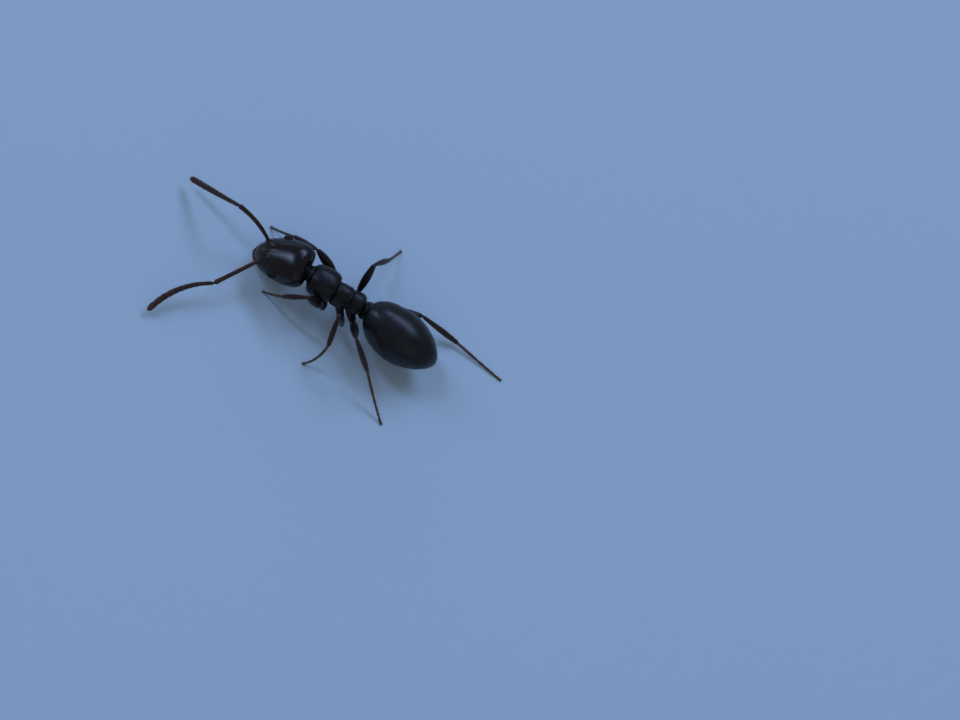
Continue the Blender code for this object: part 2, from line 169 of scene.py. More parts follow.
def spindle(t: Array, base: float, belly: float, tip: float, belly_at: float) -> Array:
    """Radius of a limb joint: narrow ends, fuller in the middle, round tips.

    Args:
        t: places along the joint, 0 to 1.
        base: radius at its start.
        belly: largest radius.
        tip: radius at its end.
        belly_at: place of the largest radius.

    Returns:
        The radius at each place.
    """
    rise = np.sin(0.5 * math.pi * np.clip(t / belly_at, 0.0, 1.0))
    fall = np.sin(0.5 * math.pi * np.clip((1.0 - t) / (1.0 - belly_at), 0.0, 1.0))
    radius = np.where(t < belly_at, base + (belly - base) * rise, tip + (belly - tip) * fall)
    return radius * rounded(t, *DOMED)


def rounded(t: Array, at_start: float, at_end: float) -> Array:
    """Factor that closes the two ends of a limb in a dome.

    Args:
        t: places along the limb, 0 to 1.
        at_start: share of its length that the first dome takes.
        at_end: share that the last dome takes.

    Returns:
        The factor at each place, 0 at both ends.
    """
    start = 1.0 - np.clip(t / at_start, 0.0, 1.0)
    end = 1.0 - np.clip((1.0 - t) / at_end, 0.0, 1.0)
    return np.sqrt(np.maximum(0.0, 1.0 - start ** 2)) * np.sqrt(np.maximum(0.0, 1.0 - end ** 2))


@dataclass(frozen=True)
class Seat:
    """Place and turn (yaw, pitch, lean in degrees) of a plate in the ant."""

    centre: Point
    turn: Point = (0.0, 0.0, 0.0)

    def matrix(self) -> Matrix:
        """Turn the seat into a matrix.

        Returns:
            The matrix, in millimetres.
        """
        yaw, pitch, lean = self.turn
        return (Matrix.Translation(Vector(self.centre))
                @ Matrix.Rotation(math.radians(yaw), 4, "Z")
                @ Matrix.Rotation(math.radians(-pitch), 4, "Y")
                @ Matrix.Rotation(math.radians(-lean), 4, "X"))


def carried(points: Array, matrix: Matrix) -> Array:
    """Points moved by a matrix."""
    m = np.array(matrix)
    return points @ m[:3, :3].T + m[:3, 3]


def beads(t: Array, ends: tuple[float, ...]) -> tuple[Array, Array]:
    """Little joints along a feeler or a foot.

    Args:
        t: places along it, 0 to 1.
        ends: where each joint begins, and where the last one ends.

    Returns:
        The number of the joint at each place, and the share of it that is passed.
    """
    marks = np.array(ends)
    joint = np.clip(np.searchsorted(marks, t, side="right") - 1, 0, len(ends) - 2)
    return joint, (t - marks[joint]) / (marks[joint + 1] - marks[joint])


def placed(name: str, data: bpy.types.ID) -> bpy.types.Object:
    """Put a mesh, light or camera in the scene.

    Args:
        name: name of the object.
        data: what it shows.

    Returns:
        The object.
    """
    made = bpy.data.objects.new(name, data)
    bpy.context.scene.collection.objects.link(made)
    return made


# ---- surfaces -----------------------------------------------------------
@dataclass
class Surface:
    """A closed plate or limb as rings of points.

    Attributes:
        points: rings x points round x 3, in mm.
        pale: how pale the cuticle is at each point, 0 to 1.
    """

    points: Array
    pale: Array = field(default_factory=lambda: np.zeros(0))

    def __post_init__(self) -> None:
        """Dark cuticle unless told otherwise."""
        if self.pale.size == 0:
            self.pale = np.zeros(self.points.shape[:2])

    @classmethod
    def plate(cls, x: Array, half: Array, top: Array, under: Array, around: int,
              squareness: float = 2.0, lift: Array | float = 0.0,
              side: Array | float = 0.0) -> "Surface":
        """Rings across an axis, flatter below than above where top and under differ.

        Args:
            x: stations of the rings.
            half: half widths.
            top: heights above the axis.
            under: depths below it.
            around: points in a ring.
            squareness: 2 for an ellipse, more for a boxier ring.
            lift: rise of each ring.
            side: sideways shift of each ring.

        Returns:
            The surface in the plate's own axes.
        """
        angle = CIRCLE * (np.arange(around) + 0.5) / around
        c, s = np.cos(angle), np.sin(angle)
        across = np.sign(c) * np.abs(c) ** (2.0 / squareness)
        up = np.sign(s) * np.abs(s) ** (2.0 / squareness)
        ones = np.ones((len(x), 1))
        lift = (np.asarray(lift) * np.ones(len(x)))[:, None]
        side = (np.asarray(side) * np.ones(len(x)))[:, None]
        height = np.where(s > 0, top[:, None] * ones, under[:, None] * ones)
        return cls(np.stack([x[:, None] + 0.0 * across, half[:, None] * across + side,
                             height * up + lift], axis=-1))

    @classmethod
    def tube(cls, path: Array, radius: Array, around: int) -> "Surface":
        """Round rings along a path, with Z kept as upright as it can be.

        Args:
            path: middles of the rings.
            radius: their radii.
            around: points in a ring.

        Returns:
            The surface, in the axes of the path.
        """
        tangent = unit(np.gradient(path, axis=0))
        sideways = np.cross(UP, tangent)
        sideways[np.linalg.norm(sideways, axis=1) < 1e-4] = (0.0, 1.0, 0.0)
        sideways = unit(sideways)
        upward = np.cross(tangent, sideways)
        angle = CIRCLE * (np.arange(around) + 0.5) / around
        ring = (np.cos(angle)[None, :, None] * sideways[:, None, :]
                + np.sin(angle)[None, :, None] * upward[:, None, :])
        return cls(path[:, None, :] + radius[:, None, None] * ring)

    @classmethod
    def spike(cls, path: Array, radius: float, taper: float) -> "Surface":
        """A spur or claw along a path, which loses the share taper of its radius."""
        t = np.linspace(0.0, 1.0, len(path))
        return cls.tube(path, radius * (1.0 - taper * t) * rounded(t, 0.1, 0.05), 10)

    @classmethod
    def ball(cls, centre: Array, radii: Point | float, rings: int = 14,
             around: int = 20) -> "Surface":
        """An ellipsoid with its axes along X, Y and Z.

        Args:
            centre: its middle.
            radii: its three radii, or the one of a sphere.
            rings: rings across X.
            around: points in a ring.

        Returns:
            The surface, in the axes of the centre.
        """
        polar = math.pi * (np.arange(rings) + 0.5) / rings
        angle = CIRCLE * np.arange(around) / around
        unit_ball = np.stack([np.cos(polar)[:, None] * np.ones(around),
                              np.sin(polar)[:, None] * np.cos(angle),
                              np.sin(polar)[:, None] * np.sin(angle)], axis=-1)
        return cls(np.asarray(centre) + unit_ball * np.asarray(radii))

    def normals(self) -> Array:
        """Directions straight out of the surface.

        Returns:
            A unit vector for each point.
        """
        around = np.roll(self.points, -1, 1) - np.roll(self.points, 1, 1)
        along = np.gradient(self.points, axis=0)
        normal = unit(np.cross(along, around))
        outward = self.points - self.points.mean(axis=1, keepdims=True)
        return normal * (1.0 if np.median((normal * outward).sum(-1)) > 0 else -1.0)

    def raised(self, relief: Array) -> "Surface":
        """The surface with each point moved out along its normal by the relief."""
        return Surface(self.points + self.normals() * relief[..., None], self.pale)

    def toned(self, pale: Array | float) -> "Surface":
        """The surface with its paleness set."""
        return Surface(self.points, np.clip(pale + 0.0 * self.points[..., 0], 0.0, 1.0))

    def carried(self, matrix: Matrix) -> "Surface":
        """The surface moved by a matrix."""
        return Surface(carried(self.points, matrix), self.pale)

    def grounded(self) -> "Surface":
        """Press all that would lie below the floor flat on it.

        Returns:
            The surface, nowhere below the floor.
        """
        points = self.points.copy()
        points[..., 2] = np.maximum(points[..., 2], 0.0)
        return Surface(points, self.pale)

    def faces(self, first: int) -> list[tuple[int, ...]]:
        """Quads between the rings and a fan at each end, numbered from first.

        Args:
            first: number of the surface's first point.

        Returns:
            Faces that face out.
        """
        rings, around = self.points.shape[:2]
        index = first + np.arange(rings * around).reshape(rings, around)
        ahead = np.roll(index, -1, 1)
        quads = np.stack([index[:-1], ahead[:-1], ahead[1:], index[1:]], -1).reshape(-1, 4)
        start, end = first + rings * around, first + rings * around + 1
        near = np.stack([ahead[0], index[0], np.full(around, start)], -1)
        far = np.stack([index[-1], ahead[-1], np.full(around, end)], -1)
        made = [quads.tolist(), near.tolist(), far.tolist()]
        loose = self.points.reshape(-1, 3) - self.points.mean(axis=(0, 1))
        a, b, c, d = (loose[quads[:, k] - first] for k in range(4))
        volume = (a * np.cross(b, c)).sum() + (a * np.cross(c, d)).sum()
        return [tuple(f) if volume > 0 else tuple(f[::-1]) for part in made for f in part]


class Shell:
    """One piece of the ant, gathered from closed surfaces."""

    shift = np.zeros(3)

    def __init__(self, name: str) -> None:
        """Start an empty shell.

        Args:
            name: name of the piece.
        """
        self.name = name
        self.points: list[Array] = []
        self.pale: list[Array] = []
        self.faces: list[tuple[int, ...]] = []
        self.count = 0

    def add(self, *surfaces: Surface) -> "Shell":
        """Take in surfaces, each with a pole at its two ends.

        Args:
            *surfaces: closed surfaces, in millimetres.

        Returns:
            This shell.
        """
        for one in surfaces:
            self.faces += one.faces(self.count)
            poles = one.points[[0, -1]].mean(axis=1)
            self.points += [one.points.reshape(-1, 3), poles]
            self.pale += [one.pale.reshape(-1), one.pale[[0, -1]].mean(axis=1)]
            self.count += one.points.shape[0] * one.points.shape[1] + 2
        return self

    def piece(self, finish: Finish, *nodes: str) -> bpy.types.Object:
        """Make the mesh and hand it to the frame.

        Args:
            finish: its material and slot.
            *nodes: the solids that it stands for.

        Returns:
            The object, riding on the ant's only body.
        """
        mesh = bpy.data.meshes.new(self.name)
        points = (np.concatenate(self.points) + Shell.shift) * MM
        mesh.from_pydata(points.tolist(), [], self.faces)
        tone = mesh.attributes.new("pale", "FLOAT", "POINT")
        tone.data.foreach_set("value", np.concatenate(self.pale).astype(np.float32))
        mesh.materials.append(finish.material)
        mesh.shade_smooth()
        mesh.update()
        made = placed(self.name, mesh)
        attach(made, "root")
        if nodes:
            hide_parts(*nodes)
        LOG.info("%s: %d faces", self.name, len(self.faces))
        return made


# ---- coat ---------------------------------------------------------------
@dataclass(frozen=True)
class Lie:
    """How the hairs of a patch grow.

    The real down is about 0.0015 mm across and the real bristles 0.004 mm; both are drawn
    thicker, because a finer hair would only flicker.

    Attributes:
        density: hairs for each square millimetre.
        length: mean length of a hair.
        thick: radius at its root.
        lean: angle from the skin, in degrees.
        towards: +1 to lie towards the last ring and -1 towards the first.
    """

    density: float
    length: float
    thick: float
    lean: float
    towards: float = 1.0


@dataclass(frozen=True)
class Roots:
    """Places scattered over the cells of a surface.

    Attributes:
        ring: number of the first ring of a place's cell.
        point: number of the cell's first point in that ring.
        along: share passed towards the next ring.
        beside: share passed towards the next point.
        around: points in a ring.
    """

    ring: Array
    point: Array
    along: Array
    beside: Array
    around: int

    def blend(self, values: Array) -> Array:
        """Vectors at the places, from those at the corners of their cells.

        Args:
            values: a vector for each point of the surface.

        Returns:
            A vector for each place.
        """
        after = (self.point + 1) % self.around
        beside, along = self.beside[:, None], self.along[:, None]
        low = values[self.ring, self.point] * (1 - beside) + values[self.ring, after] * beside
        high = (values[self.ring + 1, self.point] * (1 - beside)
                + values[self.ring + 1, after] * beside)
        return low * (1 - along) + high * along


class Coat:
    """Fine hairs of solid mesh, grown from the surfaces and joined into one piece."""

    POINTS = 7                    # in a hair: two rings of three, and the tip
    FACES = np.array([[0, 1, 2], [0, 4, 1], [0, 3, 4], [1, 5, 2], [1, 4, 5], [2, 3, 0],
                      [2, 5, 3], [3, 6, 4], [4, 6, 5], [5, 6, 3]])
    LEAN_SPREAD = 5.0             # scatter of the lean, in degrees
    TURN_SPREAD = 0.22            # scatter to the side of the lie, in radians
    LENGTHS = (0.7, 1.2)          # shortest and longest hair, as shares of the mean
    MIDDLE_THICK = 0.72           # radius at half length, as a share of the root's
    CURL = (0.09, 0.07)           # rise of a hair's middle and fall of its tip
    CELLS = 8                     # cells in a row of the bake map, one for each surface
    MARGIN = 0.06                 # free edge of a cell
    PATCH = 0.0015                # radius of a hair's patch in the map

    def __init__(self, name: str, seed: int) -> None:
        """Start an empty coat.

        Args:
            name: name of the piece.
            seed: start of its own random order.
        """
        self.name = name
        self.random = np.random.default_rng(seed)
        self.cell = 0
        self.points: list[Array] = []
        self.uvs: list[Array] = []

    def grow(self, skin: Surface, lie: Lie, where: Array | None = None) -> None:
        """Scatter hairs over a surface.

        Args:
            skin: the surface that they root in.
            lie: how they grow.
            where: share of the density at each point of the surface, or None for all of it.
        """
        p, n = skin.points, skin.normals()
        along = unit(np.gradient(p, axis=0)) * lie.towards
        across = np.roll(p, -1, 1)[:-1] - p[:-1]
        area = np.linalg.norm(np.cross(across, p[1:] - p[:-1]), axis=-1)
        weight = area if where is None else area * where[:-1]
        total = weight.sum()
        count = int(round(total * lie.density))
        if count == 0:
            return
        pick = self.random.choice(area.size, size=count, p=weight.reshape(-1) / total)
        rings, around = p.shape[:2]
        i, j = np.divmod(pick, around)
        roots = Roots(i, j, self.random.random(count), self.random.random(count), around)
        self._hairs(roots.blend(p), unit(roots.blend(n)), unit(roots.blend(along)), lie)
        column, row = self.cell % self.CELLS, self.cell // self.CELLS
        inside = 1.0 - 2.0 * self.MARGIN
        u = (column + self.MARGIN + inside * (j + roots.beside) / around) / self.CELLS
        v = (row + self.MARGIN + inside * (i + roots.along) / rings) / self.CELLS
        self.uvs.append(np.stack([u, v], -1))
        self.cell += 1

    def _hairs(self, root: Array, normal: Array, way: Array, lie: Lie) -> None:
        """Add a bent, pointed hair at each root.

        Args:
            root: places of the roots.
            normal: directions straight out of the skin there.
            way: directions along the skin in which the coat lies.
            lie: how the hairs grow.
        """
        count = len(root)
        lean = np.radians(lie.lean + self.random.normal(0.0, self.LEAN_SPREAD, count))[:, None]
        turn = self.random.normal(0.0, self.TURN_SPREAD, count)[:, None]
        flow = unit(way + np.cross(normal, way) * turn)
        length = (lie.length * self.random.uniform(*self.LENGTHS, count))[:, None]
        rise = flow * np.cos(lean) + normal * np.sin(lean)
        up, down = self.CURL
        middle = root + 0.5 * length * unit(rise + up * normal * np.sin(lean))
        tip = root + length * unit(rise - down * normal * np.sin(lean))
        side = np.cross(normal, flow)
        points = []
        for base, thick in ((root - normal * lie.thick, 1.0), (middle, self.MIDDLE_THICK)):
            for k in range(3):
                angle = CIRCLE * k / 3.0 + 0.5 * math.pi
                points.append(base + lie.thick * thick
                              * (math.cos(angle) * side + math.sin(angle) * normal))
        self.points.append(np.stack([*points, tip], axis=1))

    def piece(self, finish: bpy.types.Material) -> bpy.types.Object:
        """Join the hairs, with each one's patch in the bake map at its root's place.

        Args:
            finish: the material of the hairs.

        Returns:
            The object, riding on the ant's only body.
        """
        hairs = np.concatenate(self.points)
        count = len(hairs)
        first = self.POINTS * np.arange(count)[:, None, None]
        faces = (self.FACES[None] + first).reshape(-1, 3)
        mesh = bpy.data.meshes.new(self.name)
        points = hairs.reshape(-1, 3).copy()
        points[:, 2] = np.maximum(points[:, 2], 0.0)
        mesh.from_pydata(((points + Shell.shift) * MM).tolist(), [], faces.tolist())
        angle = CIRCLE * np.array([0, 1, 2, 0, 1, 2, 0]) / 3.0
        size = self.PATCH * np.array([1.0, 1.0, 1.0, 0.5, 0.5, 0.5, 0.0])
        star = np.stack([np.cos(angle) * size, np.sin(angle) * size], -1)
        at_points = (np.concatenate(self.uvs)[:, None] + star[None]).reshape(-1, 2)
        layer = mesh.uv_layers.new(name="OFBake")
        layer.data.foreach_set("uv", at_points[faces.reshape(-1)].astype(np.float32).ravel())
        mesh.materials.append(finish)
        mesh.shade_smooth()
        made = placed(self.name, mesh)
        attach(made, "root")
        LOG.info("%s: %d hairs", self.name, count)
        return made


# ---- finishes -----------------------------------------------------------
def linear(colour: str) -> tuple[float, float, float, float]:
    """Linear colour of an sRGB hex value.

    Args:
        colour: such as "#A0B0C0".

    Returns:
        Red, green, blue and a full alpha.
    """
    parts = [int(colour[k:k + 2], 16) / 255.0 for k in (1, 3, 5)]
    red, green, blue = (c / 12.92 if c <= 0.04045 else ((c + 0.055) / 1.055) ** 2.4
                        for c in parts)
    return red, green, blue, 1.0


def connect(tree: bpy.types.NodeTree, node: bpy.types.Node,
            inputs: dict[str | int, object]) -> None:
    """Fill the inputs of a node.

    Args:
        tree: the material's nodes.
        node: the node to fill.
        inputs: for each input a value, or the output that feeds it.
    """
    for key, value in inputs.items():
        if isinstance(value, bpy.types.NodeSocket):
            tree.links.new(value, node.inputs[key])
        else:
            node.inputs[key].default_value = value


def add_node(tree: bpy.types.NodeTree, kind: str, settings: dict[str, object],
             inputs: dict[str | int, object]) -> bpy.types.Node:
    """Add a node with its settings and links.

    Args:
        tree: the material's nodes.
        kind: the node's type.
        settings: its properties.
        inputs: for each input a value, or the output that feeds it.

    Returns:
        The node.
    """
    made = tree.nodes.new(kind)
    for key, value in settings.items():
        setattr(made, key, value)
    connect(tree, made, inputs)
    return made


def bare_material(name: str) -> tuple[bpy.types.Material, bpy.types.Node, bpy.types.NodeSocket]:
    """Start a material.

    Args:
        name: its name.

    Returns:
        The material, its shader and the place on the object that its patterns follow.
    """
    made = bpy.data.materials.new(name)
    made.use_nodes = True
    place = add_node(made.node_tree, "ShaderNodeTexCoord", {}, {})
    return made, made.node_tree.nodes["Principled BSDF"], place.outputs["Object"]


@dataclass(frozen=True)
class Cuticle:
    """Insect cuticle, hardened and tanned in place under a thin coat of wax.

    The tanned layer gives a dark body colour, the cells that laid it leave a net of fine
    lines, and the wax gives a soft gloss with a clear edge.

    Attributes:
        name: name of the material.
        slot: the slot that it fills.
        dark: colour where the cuticle is thick.
        pale: colour where it is thin.
        roughness: of the surface under the wax.
        cell: width of a cell of the net.
        net: depth of its lines.
        wax: weight of the wax coat.
        gloss: specular level of the cuticle.
        glow: weight of the light that passes through.
        line: width of a line of the net, as a share of a cell.
        cloud: size of the patches in which the tan is uneven.
        uneven: how much paler the darkest and the palest patch are.
        grain: size of the finest unevenness.
        polish: change of the roughness from the smoothest grain to the roughest.
        wax_roughness: of the wax coat.
        wax_ior: of the wax.
        depth: how far light reaches in.
    """

    name: str
    slot: Slot
    dark: str
    pale: str
    roughness: float = 0.34
    cell: float = 0.017      # the real net is 0.010 mm wide; drawn coarser so that it shows
    net: float = 0.0004
    wax: float = 0.08
    gloss: float = 0.36
    glow: float = 0.0
    line: float = 0.16
    cloud: float = 0.16
    uneven: tuple[float, float] = (-0.06, 0.14)
    grain: float = 0.018
    polish: tuple[float, float] = (-0.05, 0.07)
    wax_roughness: float = 0.16
    wax_ior: float = 1.45
    depth: float = 0.02

    def finish(self) -> Finish:
        """Make the material.

        Returns:
            The cuticle's finish.
        """
        made, shader, place = bare_material(self.name)
        tree = made.node_tree
        tone = add_node(tree, "ShaderNodeAttribute", {"attribute_name": "pale"}, {})
        cloud = add_node(tree, "ShaderNodeTexNoise", {},
                         {"Vector": place, "Scale": 1.0 / (self.cloud * MM), "Detail": 3.0})
        spread = add_node(tree, "ShaderNodeMapRange", {},
                          {"Value": cloud.outputs["Fac"], "From Min": 0.35, "From Max": 0.75,
                           "To Min": self.uneven[0], "To Max": self.uneven[1]})
        share = add_node(tree, "ShaderNodeMath", {"operation": "ADD", "use_clamp": True},
                         {0: tone.outputs["Fac"], 1: spread.outputs["Result"]})
        colour = add_node(tree, "ShaderNodeMix", {"data_type": "RGBA"},
                          {"Factor": share.outputs["Value"], "A": linear(self.dark),
                           "B": linear(self.pale)})
        grain = add_node(tree, "ShaderNodeTexNoise", {},
                         {"Vector": place, "Scale": 1.0 / (self.grain * MM), "Detail": 2.0})
        smooth, coarse = (self.roughness + change for change in self.polish)
        rough = add_node(tree, "ShaderNodeMapRange", {},
                         {"Value": grain.outputs["Fac"], "From Min": 0.3, "From Max": 0.7,
                          "To Min": smooth, "To Max": coarse})
        cells = add_node(tree, "ShaderNodeTexVoronoi", {"feature": "DISTANCE_TO_EDGE"},
                         {"Vector": place, "Scale": 1.0 / (self.cell * MM)})
        groove = add_node(tree, "ShaderNodeMapRange", {"interpolation_type": "SMOOTHSTEP"},
                          {"Value": cells.outputs["Distance"], "From Max": self.line})
        fine = add_node(tree, "ShaderNodeBump", {},
                        {"Height": grain.outputs["Fac"], "Strength": 0.22,
                         "Distance": 0.4 * self.net * MM})
        bump = add_node(tree, "ShaderNodeBump", {},
                        {"Height": groove.outputs["Result"], "Strength": 0.6,
                         "Distance": self.net * MM, "Normal": fine.outputs["Normal"]})
        connect(tree, shader, {
            "Base Color": colour.outputs["Result"], "Roughness": rough.outputs["Result"],
            "Normal": bump.outputs["Normal"], "Specular IOR Level": self.gloss,
            "Coat Weight": self.wax, "Coat Roughness": self.wax_roughness,
            "Coat IOR": self.wax_ior, "Subsurface Weight": self.glow,
            "Subsurface Scale": self.depth * MM})
        return Finish(made, self.slot)


@dataclass(frozen=True)
class EyeLens:
    """Clear cuticle lenses over black pigment.

    The pigment makes the eye black through and through, each lens carries a small gloss of
    its own, and a film of dust keeps that gloss from being a mirror's.

    Attributes:
        name: name of the material.
        colour: of the lenses.
        rim: colour of the plain cuticle round them.
        film: size of the patches of the film.
        roughness: of the clean and of the filmed lens.
        gloss: specular level of a lens.
    """

    name: str = "eye_lens_cuticle"
    colour: str = "#0A090C"
    rim: str = "#1C1513"
    film: float = 0.012
    roughness: tuple[float, float] = (0.18, 0.32)
    gloss: float = 0.30

    def finish(self) -> Finish:
        """Make the material.

        Returns:
            The eye's finish.
        """
        made, shader, place = bare_material(self.name)
        tree = made.node_tree
        tone = add_node(tree, "ShaderNodeAttribute", {"attribute_name": "pale"}, {})
        colour = add_node(tree, "ShaderNodeMix", {"data_type": "RGBA"},
                          {"Factor": tone.outputs["Fac"], "A": linear(self.colour),
                           "B": linear(self.rim)})
        film = add_node(tree, "ShaderNodeTexNoise", {},
                        {"Vector": place, "Scale": 1.0 / (self.film * MM), "Detail": 3.0})
        clean, filmed = self.roughness
        rough = add_node(tree, "ShaderNodeMapRange", {},
                         {"Value": film.outputs["Fac"], "From Min": 0.3, "From Max": 0.7,
                          "To Min": clean, "To Max": filmed})
        connect(tree, shader, {"Base Color": colour.outputs["Result"],
                               "Roughness": rough.outputs["Result"],
                               "Specular IOR Level": self.gloss})
        return Finish(made, Slot.EYE)


@dataclass(frozen=True)
class Chaeta:
    """Fine hollow hairs of clear amber cuticle, which give the shell a faint silky bloom.

    Attributes:
        name: name of the material.
        root: colour of the darker stretches.
        tip: colour of the clearer ones.
        cloud: length of such a stretch.
        roughness: of the darker and of the clearer stretches.
        ior: of the cuticle.
    """

    name: str
    root: str
    tip: str
    cloud: float = 0.03
    roughness: tuple[float, float] = (0.34, 0.50)
    ior: float = 1.55

    def material(self) -> bpy.types.Material:
        """Make the material.

        Returns:
            The hairs' material.
        """
        made, shader, place = bare_material(self.name)
        tree = made.node_tree
        cloud = add_node(tree, "ShaderNodeTexNoise", {},
                         {"Vector": place, "Scale": 1.0 / (self.cloud * MM)})
        colour = add_node(tree, "ShaderNodeMix", {"data_type": "RGBA"},
                          {"Factor": cloud.outputs["Fac"], "A": linear(self.root),
                           "B": linear(self.tip)})
        dark, clear = self.roughness
        rough = add_node(tree, "ShaderNodeMapRange", {},
                         {"Value": cloud.outputs["Fac"], "To Min": dark, "To Max": clear})
        connect(tree, shader, {"Base Color": colour.outputs["Result"],
                               "Roughness": rough.outputs["Result"], "IOR": self.ior})
        return made


@dataclass(frozen=True)
class Wardrobe:
    """All finishes of the ant."""

    black: Finish
    satin: Finish
    silky: Finish
    brown_black: Finish
    brown: Finish
    amber: Finish
    eye: Finish
    down: bpy.types.Material
    bristle: bpy.types.Material

    @classmethod
    def filled(cls) -> "Wardrobe":
        """Make every finish once.

        Returns:
            The filled wardrobe.
        """
        return cls(
            # thick tanned plate of the head: nearly black, polished, a trace of brown
            black=Cuticle("tanned_cuticle_black", Slot.BLACK, "#140F12", "#4C443F", 0.18,
                          gloss=0.44).finish(),
            # plates of the trunk: the same black with a deeper net, so duller
            satin=Cuticle("tanned_cuticle_satin_black", Slot.BLACK, "#0B0A0D", "#463E38", 0.34,
                          net=0.0005, wax=0.04, gloss=0.35).finish(),
            # rings of the gaster: the same black with a silky, broader gloss
            silky=Cuticle("tanned_cuticle_silky_black", Slot.BLACK, "#0A0B0F", "#3D4043", 0.32,
                          net=0.0003, wax=0.05, gloss=0.44).finish(),
            # thinner cuticle of coxae, femora, waist and clypeus: black-brown, a little duller
            brown_black=Cuticle("tanned_cuticle_brown_black", Slot.BROWN_BLACK, "#120C0B",
                                "#4A3327").finish(),
            # antennae, tibiae and jaws: dark chestnut, lets a little light through
            brown=Cuticle("tanned_cuticle_brown", Slot.BROWN, "#25110C", "#7A4126", 0.36,
                          cell=0.014, net=0.00035, glow=0.05).finish(),
            # feet and palps: thin amber-brown cuticle, the least tanned and the dullest
            amber=Cuticle("thin_cuticle_amber", Slot.PALE_BROWN, "#33211B", "#84603F", 0.40,
                          cell=0.012, net=0.0003, wax=0.04, glow=0.10).finish(),
            eye=EyeLens().finish(),
            down=Chaeta("down_of_fine_hairs", "#3E3835", "#6E655C").material(),
            bristle=Chaeta("amber_bristles", "#4A3526", "#9A7A55").material(),
        )


# ---- head ---------------------------------------------------------------
@dataclass(frozen=True)
class Palp:
    """A jointed feeler of the mouth: root, tip, number of joints and radius.

    The places are those of the left one, in the head's own axes.
    """

    root: Point
    tip: Point
    joints: int
    radius: float


